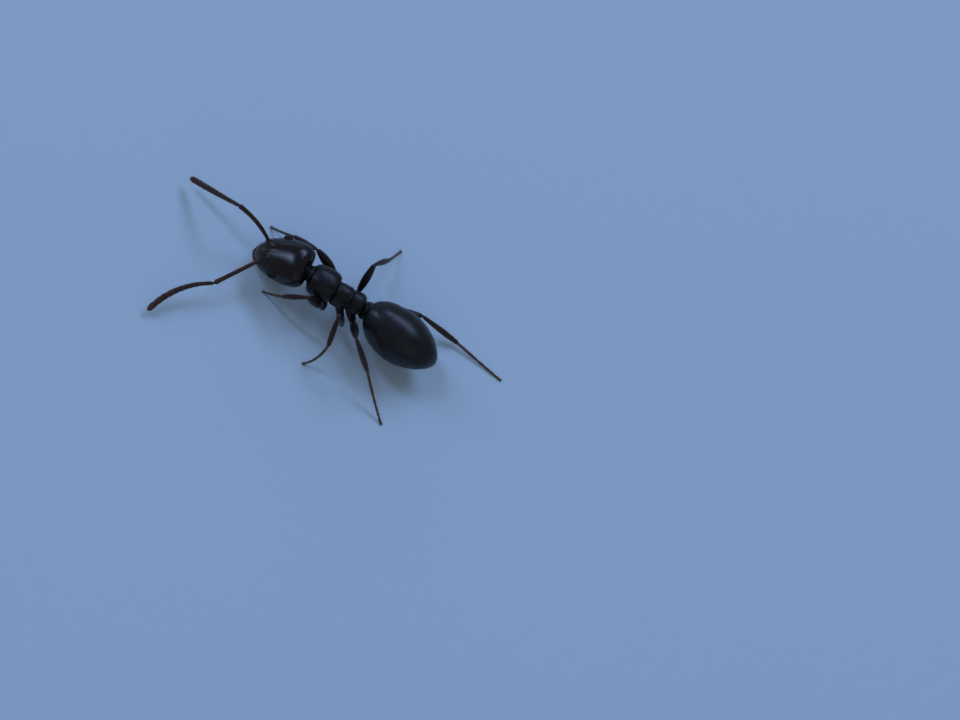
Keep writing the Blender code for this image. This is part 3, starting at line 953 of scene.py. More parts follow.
@dataclass
class Head:
    """Egg-shaped capsule with clypeus, eyes, jaws and palps.

    Stations run along the head's own axis, from its middle to the front.  A place is given
    as forward, out and up, in the head's own axes.

    Attributes:
        nose: station where the capsule's egg would close, were it not cut off.
        muzzle: station where it is cut off blunt.
        width_forms: powers of the outline from above, back and front half.
        height_forms: powers of the outline from the side.
        eye_turn: turns of an eye about X and Z, in degrees.
        facets: lenses from the middle of an eye to its rim.
        scape_ways: yaw and rise of the left and the right scape, in degrees.
        jaw_sunk: share of a jaw's length that is sunk in the capsule.
    """

    wardrobe: Wardrobe
    seat: Seat = Seat((1.390, 0.021, 0.645), (3.0, -25.0, 6.0))
    width: float = 0.995
    top: float = 0.355
    under: float = 0.345
    widest: float = -0.18
    back: float = 0.70
    nose: float = 0.70
    muzzle: float = 0.505
    blunt_from: float = 0.40
    blunt_width: float = 0.10
    width_forms: Forms = ((4.0, 2.5), (1.5, 2.0))
    height_forms: Forms = ((2.6, 2.2), (1.7, 2.0))
    squareness: float = 2.25
    hollow_depth: float = 0.062
    hollow_half: float = 0.38
    eye_size: Point = (0.225, 0.085, 0.165)
    eye_seat: Point = (0.01, 0.432, 0.130)
    eye_turn: tuple[float, float] = (18.0, 6.0)
    facets: float = 8.5
    facet_rise: float = 0.0034
    socket: Point = (0.377, 0.220, 0.147)
    scape_ways: tuple[tuple[float, float], ...] = ((59.6, -5.2), (-6.2, 31.0))
    clypeus_half: float = 0.235
    clypeus_rear: float = 0.332
    clypeus_fore: float = 0.575
    clypeus_thick: float = 0.045
    jaw_base: Point = (0.485, 0.150, -0.055)
    jaw_tip: Point = (0.700, 0.022, -0.085)
    jaw_size: tuple[float, float] = (0.120, 0.084)
    jaw_sunk: float = 0.28
    jaw_teeth: float = 7.0
    lip: Point = (0.495, 0.0, -0.010)
    lip_size: Point = (0.080, 0.125, 0.105)
    palps: tuple[Palp, ...] = (
        Palp((0.43, 0.075, -0.205), (0.06, 0.125, -0.352), 6, 0.0125),
        Palp((0.45, 0.026, -0.195), (0.25, 0.034, -0.315), 4, 0.0105))
    down: Lie = Lie(560.0, 0.038, 0.0014, 9.0)
    crown_bristles: Lie = Lie(10.0, 0.085, 0.0026, 62.0)
    clypeus_bristles: Lie = Lie(150.0, 0.080, 0.0026, 45.0)
    jaw_bristles: Lie = Lie(330.0, 0.060, 0.0022, 38.0)

    def girths(self, x: Array) -> tuple[Array, Array]:
        """Girth of the capsule.

        Args:
            x: stations along the head's own axis.

        Returns:
            The half widths, and the heights as shares of the full one.
        """
        ends = (-self.back, self.nose)
        width = egg(x, self.widest, ends, self.width_forms)
        return width * self.width / 2.0, egg(x, self.widest, ends, self.height_forms)

    def hollowed(self, points: Array) -> Array:
        """Press the middle of the occiput in, so that its two corners stand out.

        Args:
            points: points of the capsule.

        Returns:
            The moved points.
        """
        behind = np.maximum(0.0, (self.widest - points[..., 0]) / (self.widest + self.back))
        middle = np.maximum(0.0, 1.0 - (points[..., 1] / self.hollow_half) ** 2)
        moved = points.copy()
        moved[..., 0] += self.hollow_depth * behind ** 3 * middle
        return moved

    def eye_matrix(self, side: Side) -> Matrix:
        """Seat of an eye.

        Args:
            side: which eye.

        Returns:
            A matrix from the eye's axes, with Y out of the head, to the head's own.
        """
        forward, out, up = self.eye_seat
        tilt, twist = (side.sign * math.radians(turn) for turn in self.eye_turn)
        return (Matrix.Translation(Vector((forward, side.sign * out, up)))
                @ Matrix.Rotation(tilt, 4, "X") @ Matrix.Rotation(-twist, 4, "Z"))

    def eye_reach(self, points: Array, side: Side) -> tuple[Array, Array]:
        """Tell how far points of the head lie from an eye.

        Args:
            points: points in the head's own axes.
            side: which eye.

        Returns:
            Distances across the eye, 1 at its rim, and heights out of it, in eye depths.
        """
        local = carried(points, self.eye_matrix(side).inverted())
        length, depth, height = self.eye_size
        across = np.hypot(local[..., 0] / (length / 2), local[..., 2] / (height / 2))
        return across, side.sign * local[..., 1] / depth

    def brow(self, points: Array, side: Side) -> Array:
        """Relief round an eye.

        Args:
            points: points of the capsule.
            side: which eye.

        Returns:
            The relief: a groove, a low rim and a bed for the eye.
        """
        across, out = self.eye_reach(points, side)
        groove, rim = ridge(across - 1.13, 0.10), ridge(across - 1.42, 0.16)
        bed = step(1.0 - across, 0.0, 0.5)
        return step(out, -1.6, -0.6) * (-0.007 * groove + 0.004 * rim - 0.030 * bed)

    def scape_way(self, side: Side) -> Array:
        """Direction in the ant in which a scape leaves the head."""
        return heading(*self.scape_ways[0 if side is Side.LEFT else 1])

    def socket_relief(self, points: Array, side: Side) -> Array:
        """Relief where a scape leaves the capsule.

        Args:
            points: points of the capsule.
            side: which feeler.

        Returns:
            The relief: a raised ring round a pit.
        """
        forward, out, up = self.socket
        turn = self.seat.matrix().to_3x3().inverted()
        way = np.array(turn @ Vector(self.scape_way(side)))
        reach = points - np.array([forward, side.sign * out, up])
        ahead = (reach * way).sum(-1)
        off = np.linalg.norm(reach - ahead[..., None] * way, axis=-1)
        ring, pit = ridge(off - 0.074, 0.019), ridge(off, 0.046)
        return step(ahead, 0.0, 0.04) * (0.012 * ring - 0.026 * pit)

    def face_relief(self, points: Array) -> Array:
        """Relief of the whole capsule.

        Args:
            points: points of the capsule.

        Returns:
            The relief: brows, sockets, carinae, furrow, seams, mouth and neck hole.
        """
        x, y, z = np.moveaxis(points, -1, 0)
        above, below = step(z, 0.0, 0.08), step(-z, 0.0, 0.08)
        relief = np.zeros(x.shape)
        for side in Side:
            relief += self.brow(points, side) + self.socket_relief(points, side)
            window = step(x, 0.12, 0.26) * step(0.44 - x, 0.0, 0.08)
            beside = side.sign * y - (0.150 - 0.12 * (x - 0.24))
            carina, trench = ridge(beside, 0.026), ridge(beside - 0.062, 0.036)
            relief += above * window * (0.015 * carina - 0.010 * trench)
            cheek = ridge(side.sign * y - 0.175 + 0.2 * (x - 0.3), 0.012)
            relief += 0.010 * (below * step(x, 0.10, 0.2) * cheek)
        furrow = ridge(y, 0.010) * step(x, -0.05, 0.05) * step(0.33 - x, 0, 0.05)
        dimple = ridge(y, 0.030) * ridge(x - 0.280, 0.030)
        throat_seam = ridge(y, 0.008) * step(x, -0.55, -0.45) * step(0.15 - x, 0, 0.1)
        mouth = ridge(y, 0.095) * step(x, 0.08, 0.30)
        relief -= above * (0.005 * furrow + 0.009 * dimple)
        relief -= below * (0.006 * throat_seam + 0.035 * mouth)
        from_neck = np.hypot(y, z - 0.02)
        rim, hole = ridge(from_neck - 0.175, 0.030), ridge(from_neck, 0.12)
        return relief + step(-x, 0.30, 0.5) * (0.005 * rim - 0.015 * hole)

    def capsule(self) -> Surface:
        """Shape the capsule, with its stations closest at its two ends.

        Returns:
            The surface in the head's own axes.
        """
        rings, around = 200, 240
        t = 0.5 * (1.0 - np.cos(math.pi * (np.arange(rings) + 0.5) / rings))
        x = -self.back + (self.back + self.muzzle) * t
        half, height = self.girths(x)
        closing = np.clip((x - self.blunt_from) / (self.muzzle - self.blunt_from), 0.0, 1.0)
        blunt = np.sqrt(1.0 - closing ** 2.4)
        width = self.blunt_width + (1.0 - self.blunt_width) * blunt
        surface = Surface.plate(x, half * width, self.top * height * blunt,
                                self.under * height * blunt, around, self.squareness)
        surface.points = self.hollowed(surface.points)
        muzzle = step(surface.points[..., 0], 0.20, 0.46)
        throat = step(-surface.points[..., 2], 0.1, 0.3)
        pale = 0.50 * muzzle + 0.15 * throat
        return surface.raised(self.face_relief(surface.points)).toned(pale)

    def clypeus(self) -> Surface:
        """Shape the shield above the jaws, sunk in the capsule behind and free in front.

        Returns:
            The surface in the head's own axes.
        """
        across = np.linspace(-1.0, 1.0, 73)
        t = np.linspace(0.0, 1.0, 52)[:, None]
        rear = 1.0 - np.clip(t / 0.55, 0.0, 1.0)
        outline = np.sqrt(1.0 - rear ** 2.2) * (0.68 + 0.24 * step(t, 0.4, 0.9))
        y = self.clypeus_half * outline * across
        fore = self.clypeus_fore - 0.100 * np.abs(across) ** 2.4 - 0.010 * ridge(across, 0.18)
        x = self.clypeus_rear + (fore - self.clypeus_rear) * t
        girth, height = self.girths(x)
        power = self.squareness
        arch = np.maximum(0.0, 1.0 - np.abs(y / (girth * 1.02)) ** power) ** (1.0 / power)
        sunk = 0.020 * (1.0 - (1.0 - across ** 8) * step(t, 0.0, 0.10))
        swollen = 0.005 + 0.022 * step(t, 0.0, 0.6) * (1.0 - np.abs(across) ** 3)
        droop = 0.085 * t ** 3 + 0.075 * np.abs(across) ** 5 * t
        z = self.top * height * arch + swollen - sunk - droop
        upper = np.stack([x, y, z], -1)
        inner = np.stack([0.012 * t + 0.0 * y, 0.0 * y, self.clypeus_thick + 0.0 * y], -1)
        ring = np.concatenate([upper, (upper - inner)[:, ::-1]], axis=1)
        return Surface(ring).toned(0.55 + 0.25 * step(t, 0.75, 1.0))

    def lenses(self, polar: Array, angle: Array) -> Array:
        """Relief of the hexagonal lenses of an eye.

        Args:
            polar: angles of the rings from the middle of the eye.
            angle: angles round it.

        Returns:
            The relief at each crossing of the two.
        """
        reach = self.facets * (polar / (0.5 * math.pi))[:, None]
        u, v = reach * np.cos(angle), reach * np.sin(angle)
        row = math.sqrt(3.0)
        near = np.full(u.shape, np.inf)
        for across, up in ((0.0, 0.0), (0.5, 0.5 * row)):
            a, b = u - across, (v - up) / row
            near = np.minimum(near, np.hypot(a - np.round(a), (b - np.round(b)) * row))
        domed = 1.0 - (near / 0.58) ** 2
        return self.facet_rise * domed * step(0.60 * math.pi - polar, 0.0, 0.25)[:, None]

    def eye(self, side: Side) -> Surface:
        """Shape an eye, a low dome of lenses.

        Args:
            side: which eye.

        Returns:
            The surface in the head's own axes.
        """
        length, depth, height = self.eye_size
        rings, around = 84, 150
        polar = 0.62 * math.pi * (np.arange(rings) + 0.5) / rings
        angle = CIRCLE * np.arange(around) / around
        dome = np.stack([np.sin(polar)[:, None] * np.cos(angle),
                         side.sign * np.cos(polar)[:, None] * np.ones(around),
                         np.sin(polar)[:, None] * np.sin(angle)], axis=-1)
        size = np.array([length / 2, depth, height / 2]) - 0.003
        lenses = self.lenses(polar, angle)[..., None]
        surface = Surface(dome * size + unit(dome / size) * lenses)
        rim = step(polar, 0.42 * math.pi, 0.52 * math.pi)[:, None]
        return surface.toned(rim).carried(self.eye_matrix(side))

    def jaw(self, side: Side) -> Surface:
        """Shape a closed mandible, hinged in the capsule and toothed on its inner edge.

        Args:
            side: which jaw.

        Returns:
            The surface in the head's own axes.
        """
        rings = 76
        spread = 1.0 - np.cos(math.pi * (np.arange(rings) + 0.5) / rings)
        t = -self.jaw_sunk + 0.5 * (1.0 + self.jaw_sunk) * spread
        base, tip = np.array(self.jaw_base), np.array(self.jaw_tip)
        axis = base + (tip - base) * t[:, None]
        ahead, sunk = np.clip(t, 0.0, 1.0), np.clip(-t / self.jaw_sunk, 0.0, 1.0)
        taper = (1.0 - ahead ** 1.8) * np.sqrt(1.0 - sunk ** 3)
        width = self.jaw_size[0] * taper ** 0.75 * (1.0 - 0.2 * sunk)
        height = self.jaw_size[1] * taper ** 0.6
        middle = np.maximum(axis[:, 1] + 0.030 * np.sin(math.pi * ahead), width + 0.004)
        surface = Surface.plate(axis[:, 0], width, height, height, 56, 2.4, axis[:, 2],
                                side.sign * middle)
        beside = middle[:, None] - side.sign * surface.points[..., 1]
        inward = step(beside / np.maximum(width, 1e-4)[:, None], 0.45, 0.95)
        teeth = np.abs(np.sin(math.pi * (ahead * self.jaw_teeth) ** 1.05)) * step(t, 0.38, 0.5)
        groove = ridge(surface.points[..., 2] - axis[:, 2:3] - 0.03, 0.012) * (1 - inward)
        pale = 0.45 - 0.35 * step(t, 0.55, 1.0)[:, None] - 0.3 * inward
        return surface.raised(0.011 * teeth[:, None] * inward - 0.004 * groove).toned(pale)

    def mouthparts(self) -> list[Surface]:
        """Shape the lip between the jaws and the palps folded under the mouth.

        Returns:
            The surfaces in the head's own axes.
        """
        made = [Surface.ball(np.array(self.lip), self.lip_size).toned(0.1)]
        rings = 60
        t = np.linspace(0.0, 1.0, rings)
        for side in Side:
            mirror = np.array([1.0, side.sign, 1.0])
            for palp in self.palps:
                path = bowed(palp.root * mirror, palp.tip * mirror,
                             np.array([0.0, 0.012, -0.022]) * mirror, rings)
                within = (t * palp.joints) % 1.0
                girth = palp.radius * (1.0 - 0.35 * (1.0 - within) ** 5)
                girth *= rounded(t, 0.03, 0.05)
                made.append(Surface.tube(path, girth, 12).toned(0.35))
        return made

    def build_capsule(self, coat: Coat, bristles: Coat) -> None:
        """Make the capsule, with down on all but the eyes and the muzzle.

        Args:
            coat: takes the down.
            bristles: takes the bristles of the crown.
        """
        capsule = self.capsule()
        x, z = capsule.points[..., 0], capsule.points[..., 2]
        clear = np.ones(x.shape)
        for side in Side:
            clear *= step(self.eye_reach(capsule.points, side)[0], 1.05, 1.2)
        skin = capsule.carried(self.seat.matrix())
        Shell("head_capsule").add(skin).piece(self.wardrobe.black, "head")
        downy = clear * step(-x, -0.42, -0.30) * step(x, -0.62, -0.5)
        coat.grow(skin, self.down, downy)
        crown = clear * step(z, 0.15, 0.25) * step(-x, 0.0, 0.3)
        bristles.grow(skin, self.crown_bristles, crown)

    def build(self, coat: Coat, bristles: Coat) -> None:
        """Make the head's pieces and their hairs.

        Args:
            coat: takes the down.
            bristles: takes the bristles.
        """
        matrix = self.seat.matrix()
        self.build_capsule(coat, bristles)
        clypeus = self.clypeus().carried(matrix)
        Shell("clypeus").add(clypeus).piece(self.wardrobe.brown_black)
        upper = np.zeros(clypeus.points.shape[:2])
        upper[4:-3, 6:55] = 1.0      # outer face, short of its rims and its left end
        bristles.grow(clypeus, self.clypeus_bristles, upper)
        for side in Side:
            name = side.value
            eye = self.eye(side).carried(matrix)
            Shell("compound_eye_" + name).add(eye).piece(self.wardrobe.eye, "eye_" + name)
            jaw = self.jaw(side)
            skin = jaw.carried(matrix)
            Shell("jaw_" + name).add(skin).piece(self.wardrobe.brown, "mandible_" + name)
            outer = step(side.sign * jaw.points[..., 1], 0.06, 0.16)
            bristles.grow(skin, self.jaw_bristles, outer)
        mouth = [part.carried(matrix) for part in self.mouthparts()]
        Shell("mouthparts").add(*mouth).piece(self.wardrobe.amber)


# ---- feelers ------------------------------------------------------------
@dataclass
class Antenna:
    """Scape and eleven-jointed funiculus.

    Attributes:
        funiculus_way: yaw and rise of the funiculus, in degrees.
        scape_bow: how far the scape bows out at its middle.
        funiculus_bow: how far the funiculus does.
        scape_radii: at its base, belly and tip.
        elbow_gap: from the elbow's middle to the first joint.
        joints: where the joints of the funiculus begin, and its tip.
    """

    side: Side
    head: Head
    wardrobe: Wardrobe
    funiculus_way: tuple[float, float]
    scape_bow: Point
    funiculus_bow: Point
    scape_length: float = 1.09
    funiculus_length: float = 1.53
    scape_radii: Point = (0.033, 0.046, 0.052)
    scape_sunk: float = 0.045
    bulb_radius: float = 0.043
    knob_radius: float = 0.031
    base_radius: float = 0.036
    club_radius: float = 0.066
    elbow_gap: float = 0.0325
    joints: tuple[float, ...] = (0.0, 0.105, 0.178, 0.250, 0.325, 0.402, 0.482, 0.564, 0.649,
                                 0.738, 0.833, 1.0)
    scape_down: Lie = Lie(820.0, 0.030, 0.0015, 24.0)
    funiculus_down: Lie = Lie(2300.0, 0.030, 0.0014, 27.0)

    def scape(self, root: Array, elbow: Array) -> Surface:
        """Shape the long first joint, with a neck behind its bulb.

        Args:
            root: middle of the socket.
            elbow: middle of the elbow.

        Returns:
            The surface in the ant.
        """
        rings = 90
        t = np.linspace(0.0, 1.0, rings)
        start = root - self.scape_sunk * self.head.scape_way(self.side)
        base, belly, tip = self.scape_radii
        girth = spindle(t, base, belly, tip, 0.55)
        girth *= 1.0 - 0.22 * ridge(t - 0.075, 0.025)
        girth *= 1.0 + 0.10 * ridge(t - 0.965, 0.02)
        pale = 0.26 + 0.30 * ridge(t, 0.09) + 0.10 * step(t, 0.94, 1.0)
        path = bowed(start, elbow, self.scape_bow, rings)
        return Surface.tube(path, girth, 32).toned(pale[:, None])

    def funiculus(self, elbow: Array, way: Array) -> Surface:
        """Shape the eleven small joints, wider towards the club.

        Args:
            elbow: middle of the elbow.
            way: direction of the funiculus.

        Returns:
            The surface in the ant.
        """
        rings = 260
        t = np.linspace(0.0, 1.0, rings)
        joint, within = beads(t, self.joints)
        swelling = np.sin(0.5 * math.pi * np.clip(t / 0.92, 0.0, 1.0))
        full = self.base_radius + (self.club_radius - self.base_radius) * swelling
        full[joint == 0] *= 1.06
        waist = 1.0 - 0.14 * (1.0 - within) ** 4 - 0.05 * within ** 12
        domed = np.sqrt(np.maximum(0.0, 1.0 - (np.clip(within - 0.42, 0, 1) / 0.585) ** 2.2))
        last = len(self.joints) - 2
        girth = full * waist * np.where(joint == last, domed, 1.0) * rounded(t, 0.012, 0.004)
        pale = 0.22 + 0.06 * t + 0.50 * step(t, 0.88, 1.0) + 0.10 * (1.0 - within) ** 6
        path = bowed(elbow + way * self.elbow_gap, elbow + way * self.funiculus_length,
                     self.funiculus_bow, rings)
        return Surface.tube(path, girth, 32).toned(pale[:, None])

    def build(self, coat: Coat) -> None:
        """Make the two pieces of the feeler and their down.

        Args:
            coat: takes the down.
        """
        forward, out, up = self.head.socket
        seat = self.head.seat.matrix()
        root = np.array(seat @ Vector((forward, self.side.sign * out, up)))
        elbow = root + self.head.scape_way(self.side) * self.scape_length
        way = heading(*self.funiculus_way)
        scape, funiculus = self.scape(root, elbow), self.funiculus(elbow, way)
        bulb = Surface.ball(root + 0.01 * unit(elbow - root), self.bulb_radius).toned(0.4)
        knob = Surface.ball(elbow + 0.01 * way, self.knob_radius).toned(0.2)
        name = self.side.value
        Shell("scape_" + name).add(scape, bulb).piece(
            self.wardrobe.brown, "antenna_%s_scape" % name)
        Shell("funiculus_" + name).add(funiculus, knob).piece(
            self.wardrobe.brown, "antenna_%s_funiculus" % name)
        coat.grow(scape, self.scape_down)
        coat.grow(funiculus, self.funiculus_down)


# ---- trunk and waist ----------------------------------------------------
@dataclass
class Plate:
    """One plate of the trunk: an egg cut off at both ends, with edges rolled in.

    Attributes:
        node: the solid that it stands for.
        mid: height of its axis above the floor.
        side: place of the axis to the ant's left.
        ends: girth left at the rear and the front edge.
        forms: powers of the outline's back and front half.
        drop: rise of the axis where the girth would be nothing.
        tuck: how far the rear and the front edge roll in.
        yaw: turn from the ant's axis, in degrees.
    """

    name: str
    node: str
    front: float
    back: float
    widest: float
    width: float
    top: float
    under: float
    mid: float
    side: float
    ends: tuple[float, float]
    forms: Forms
    drop: float = 0.0
    tuck: tuple[float, float] = (0.03, 0.03)
    yaw: float = 5.0
    squareness: float = 2.2

    def surface(self) -> Surface:
        """Shape the plate.

        Returns:
            The surface in the plate's own axes.
        """
        behind, ahead = self.tuck
        turn = np.sin(np.linspace(0.5 * math.pi, 0.0, 8))[:-1]
        x = np.concatenate([self.back - behind * turn, np.linspace(self.back, self.front, 90),
                            self.front + ahead * turn[::-1]])
        held = np.clip(x, self.back, self.front)
        girth = egg(held, self.widest, (self.back, self.front), self.forms)
        low = np.where(held < self.widest, *self.ends)
        girth = low + (1.0 - low) * girth
        edge = np.minimum(x - self.back, self.front - x)
        girth *= 1.0 - 0.028 * (1.0 - np.clip(edge / 0.018, 0.0, 1.0)) ** 2
        past = np.maximum((self.back - x) / behind, (x - self.front) / ahead)
        rolled = 0.965 * np.sqrt(np.clip(1.0 - past ** 2, 0.0, 1.0))
        girth *= np.where(edge < 0, rolled, 1.0)
        return Surface.plate(x, girth * self.width / 2.0, girth * self.top,
                             girth * self.under, 150, self.squareness,
                             self.drop * (1.0 - girth))

    def matrix(self) -> Matrix:
        """Seat of the plate in the ant."""
        return Seat((0.0, self.side, self.mid), (self.yaw, 0.0, 0.0)).matrix()


@dataclass
class Trunk:
    """Pronotum, mesothorax and propodeum, with the collar and the petiole.

    Attributes:
        neck: front and rear end of the collar.
        neck_fold: height of its fine folds, as a share of its radius.
        neck_turns: length of the collar in radians of those folds.
        petiole: front and rear end of the petiole.
        petiole_radii: at its front, middle and rear.
        node_rise: height of its node.
        node_swell: how far the node stands out at the sides.
    """

    wardrobe: Wardrobe
    pronotum: Plate = field(default_factory=lambda: Plate(
        "pronotum_plate", "pronotum", front=0.70, back=0.085, widest=0.37, width=0.72,
        top=0.285, under=0.265, mid=0.862, side=0.022, ends=(0.70, 0.56),
        forms=((2.4, 1.8), (3.2, 2.1)), drop=-0.03))
    mesothorax: Plate = field(default_factory=lambda: Plate(
        "mesothorax_plate", "mesothorax", front=0.075, back=-0.270, widest=-0.02, width=0.475,
        top=0.255, under=0.250, mid=0.842, side=0.058, ends=(0.93, 0.96),
        forms=((2.0, 2.0), (2.0, 2.0)), tuck=(0.04, 0.05)))
    propodeum: Plate = field(default_factory=lambda: Plate(
        "propodeum_plate", "propodeum", front=-0.280, back=-0.595, widest=-0.42, width=0.475,
        top=0.240, under=0.220, mid=0.805, side=0.048, ends=(0.34, 0.94),
        forms=((2.6, 1.8), (2.0, 2.0)), drop=0.05, tuck=(0.05, 0.05)))
    neck: tuple[Point, Point] = ((0.87, 0.005, 0.785), (0.60, 0.022, 0.84))
    neck_radii: tuple[float, float] = (0.150, 0.205)
    neck_fold: float = 0.012
    neck_turns: float = 34.0
    petiole: tuple[Point, Point] = ((-0.52, 0.020, 0.625), (-0.87, 0.055, 0.605))
    petiole_arch: float = 0.012
    petiole_radii: Point = (0.085, 0.115, 0.085)
    node_rise: float = 0.052
    node_swell: float = 0.042
    down: Lie = Lie(680.0, 0.036, 0.0014, 10.0, -1.0)
    back_bristles: Lie = Lie(16.0, 0.090, 0.0026, 66.0, -1.0)
    petiole_down: Lie = Lie(380.0, 0.034, 0.0015, 14.0)

    def pronotum_relief(self, points: Array) -> Array:
        """Relief of the first plate.

        Args:
            points: points of the plate.

        Returns:
            The relief: the collar's groove, and the side plate let in below its seam.
        """
        x, y, z = np.moveaxis(points, -1, 0)
        flank = step(np.abs(y), 0.10, 0.16)
        above = z + 0.105 + 0.22 * (x - 0.35)
        relief = -0.005 * ridge(x - 0.630, 0.012) + 0.003 * ridge(x - 0.606, 0.014)
        relief -= 0.008 * ridge(above, 0.010) * flank
        relief -= 0.008 * step(-above, 0.0, 0.02) * flank
        return relief - 0.004 * ridge(x - 0.112, 0.010) * step(z, -0.1, 0.0)

    def mesothorax_relief(self, points: Array) -> Array:
        """Relief of the middle plate.

        Args:
            points: points of the plate.

        Returns:
            The relief: back shield, side seams, breathing holes and the rear groove.
        """
        x, y, z = np.moveaxis(points, -1, 0)
        above, flank = step(z, 0.05, 0.12), step(np.abs(y), 0.10, 0.16)
        disc = np.hypot((x + 0.075) / 0.130, y / 0.165)
        relief = above * (-0.007 * ridge(disc - 1.0, 0.09) + 0.004 * step(1.0 - disc, 0.0, 0.3))
        side_plate = step(0.04 - z, 0.0, 0.14) * step(0.20 + x, -0.06, 0.06)
        upper_seam = ridge(z - 0.045 - 0.25 * (x + 0.1), 0.011)
        slant_seam = ridge(x + 0.115 - 0.8 * (z + 0.08), 0.012) * step(-z, -0.03, 0.03)
        hole = np.hypot(x + 0.205, z - 0.085)
        relief += 0.045 * flank * side_plate
        relief -= 0.008 * flank * upper_seam
        relief -= 0.007 * flank * slant_seam
        relief -= 0.016 * ridge(x + 0.238, 0.018) * step(z, 0.0, 0.1)
        return relief + flank * (0.007 * ridge(hole - 0.020, 0.007) - 0.006 * ridge(hole, 0.010))

    def propodeum_relief(self, points: Array) -> Array:
        """Relief of the rear plate.

        Args:
            points: points of the plate.

        Returns:
            The relief: breathing holes, gland bullae, a seam and the rear slope's edge.
        """
        x, y, z = np.moveaxis(points, -1, 0)
        flank = step(np.abs(y), 0.08, 0.13)
        hole = np.hypot(x + 0.485, z - 0.055)
        gland = np.hypot((x + 0.490) / 1.5, z + 0.120)
        relief = flank * (0.009 * ridge(hole - 0.024, 0.009) - 0.014 * ridge(hole, 0.013))
        relief += flank * (0.014 * ridge(gland, 0.036) - 0.007 * ridge(gland - 0.048, 0.007))
        relief -= flank * 0.006 * ridge(x + 0.345 - 0.35 * z, 0.010)
        return relief + 0.004 * ridge(x + 0.53, 0.018) * step(z, 0.0, 0.08)

    def build_plates(self, coat: Coat, bristles: Coat) -> None:
        """Make the three plates and their hairs.

        Args:
            coat: takes the down.
            bristles: takes the bristles on the pronotum's back.
        """
        rolled_in = 10      # rings at each end that have no hairs
        for plate, relief in ((self.pronotum, self.pronotum_relief),
                              (self.mesothorax, self.mesothorax_relief),
                              (self.propodeum, self.propodeum_relief)):
            flat = plate.surface()
            z = flat.points[..., 2]
            made = flat.raised(relief(flat.points)).toned(0.12 * step(-z, 0.10, 0.22))
            skin = made.carried(plate.matrix())
            Shell(plate.name).add(skin).piece(self.wardrobe.satin, plate.node)
            downy = np.zeros(z.shape)
            downy[rolled_in:-rolled_in] = 1.0
            coat.grow(skin, self.down, downy)
            if plate is self.pronotum:
                bristles.grow(skin, self.back_bristles, downy * step(z, 0.15, 0.22))

    def build_neck(self) -> None:
        """Make the finely ringed collar between head and trunk."""
        rings = 40
        narrow, wide = self.neck_radii
        t = np.linspace(0.0, 1.0, rings)
        girth = (narrow + (wide - narrow) * step(t, 0.15, 0.75)) * rounded(t, 0.1, 0.15)
        girth *= 1.0 + self.neck_fold * np.sin(t * self.neck_turns)
        collar = Surface.tube(straight(*self.neck, rings), girth, 48).toned(0.04)
        Shell("neck_collar").add(collar).piece(self.wardrobe.satin, "neck")

    def build_petiole(self, coat: Coat) -> None:
        """Make the low node of the waist.

        Args:
            coat: takes its down.
        """
        rings = 70
        t = np.linspace(0.0, 1.0, rings)
        start, end = (np.array(point) for point in self.petiole)
        path = bowed(start, end, self.petiole_arch * UP, rings)
        surface = Surface.tube(path, spindle(t, *self.petiole_radii, 0.5), 64)
        out = unit(surface.points - surface.points.mean(axis=1, keepdims=True))
        swollen = self.node_rise * step(out[..., 2], 0.2, 0.9) + self.node_swell * out[..., 1] ** 2
        relief = swollen * ridge(t - 0.42, 0.22)[:, None]
        relief -= 0.008 * (ridge(t - 0.15, 0.03) + ridge(t - 0.82, 0.03))[:, None]
        node = surface.raised(relief).toned(0.18)
        Shell("petiole_node").add(node).piece(self.wardrobe.brown_black, "petiole")
        coat.grow(node, self.petiole_down)

    def build(self, coat: Coat, bristles: Coat) -> None:
        """Make all pieces of the trunk and their hairs.

        Args:
            coat: takes the down.
            bristles: takes the bristles.
        """
        self.build_plates(coat, bristles)
        self.build_neck()
        self.build_petiole(coat)


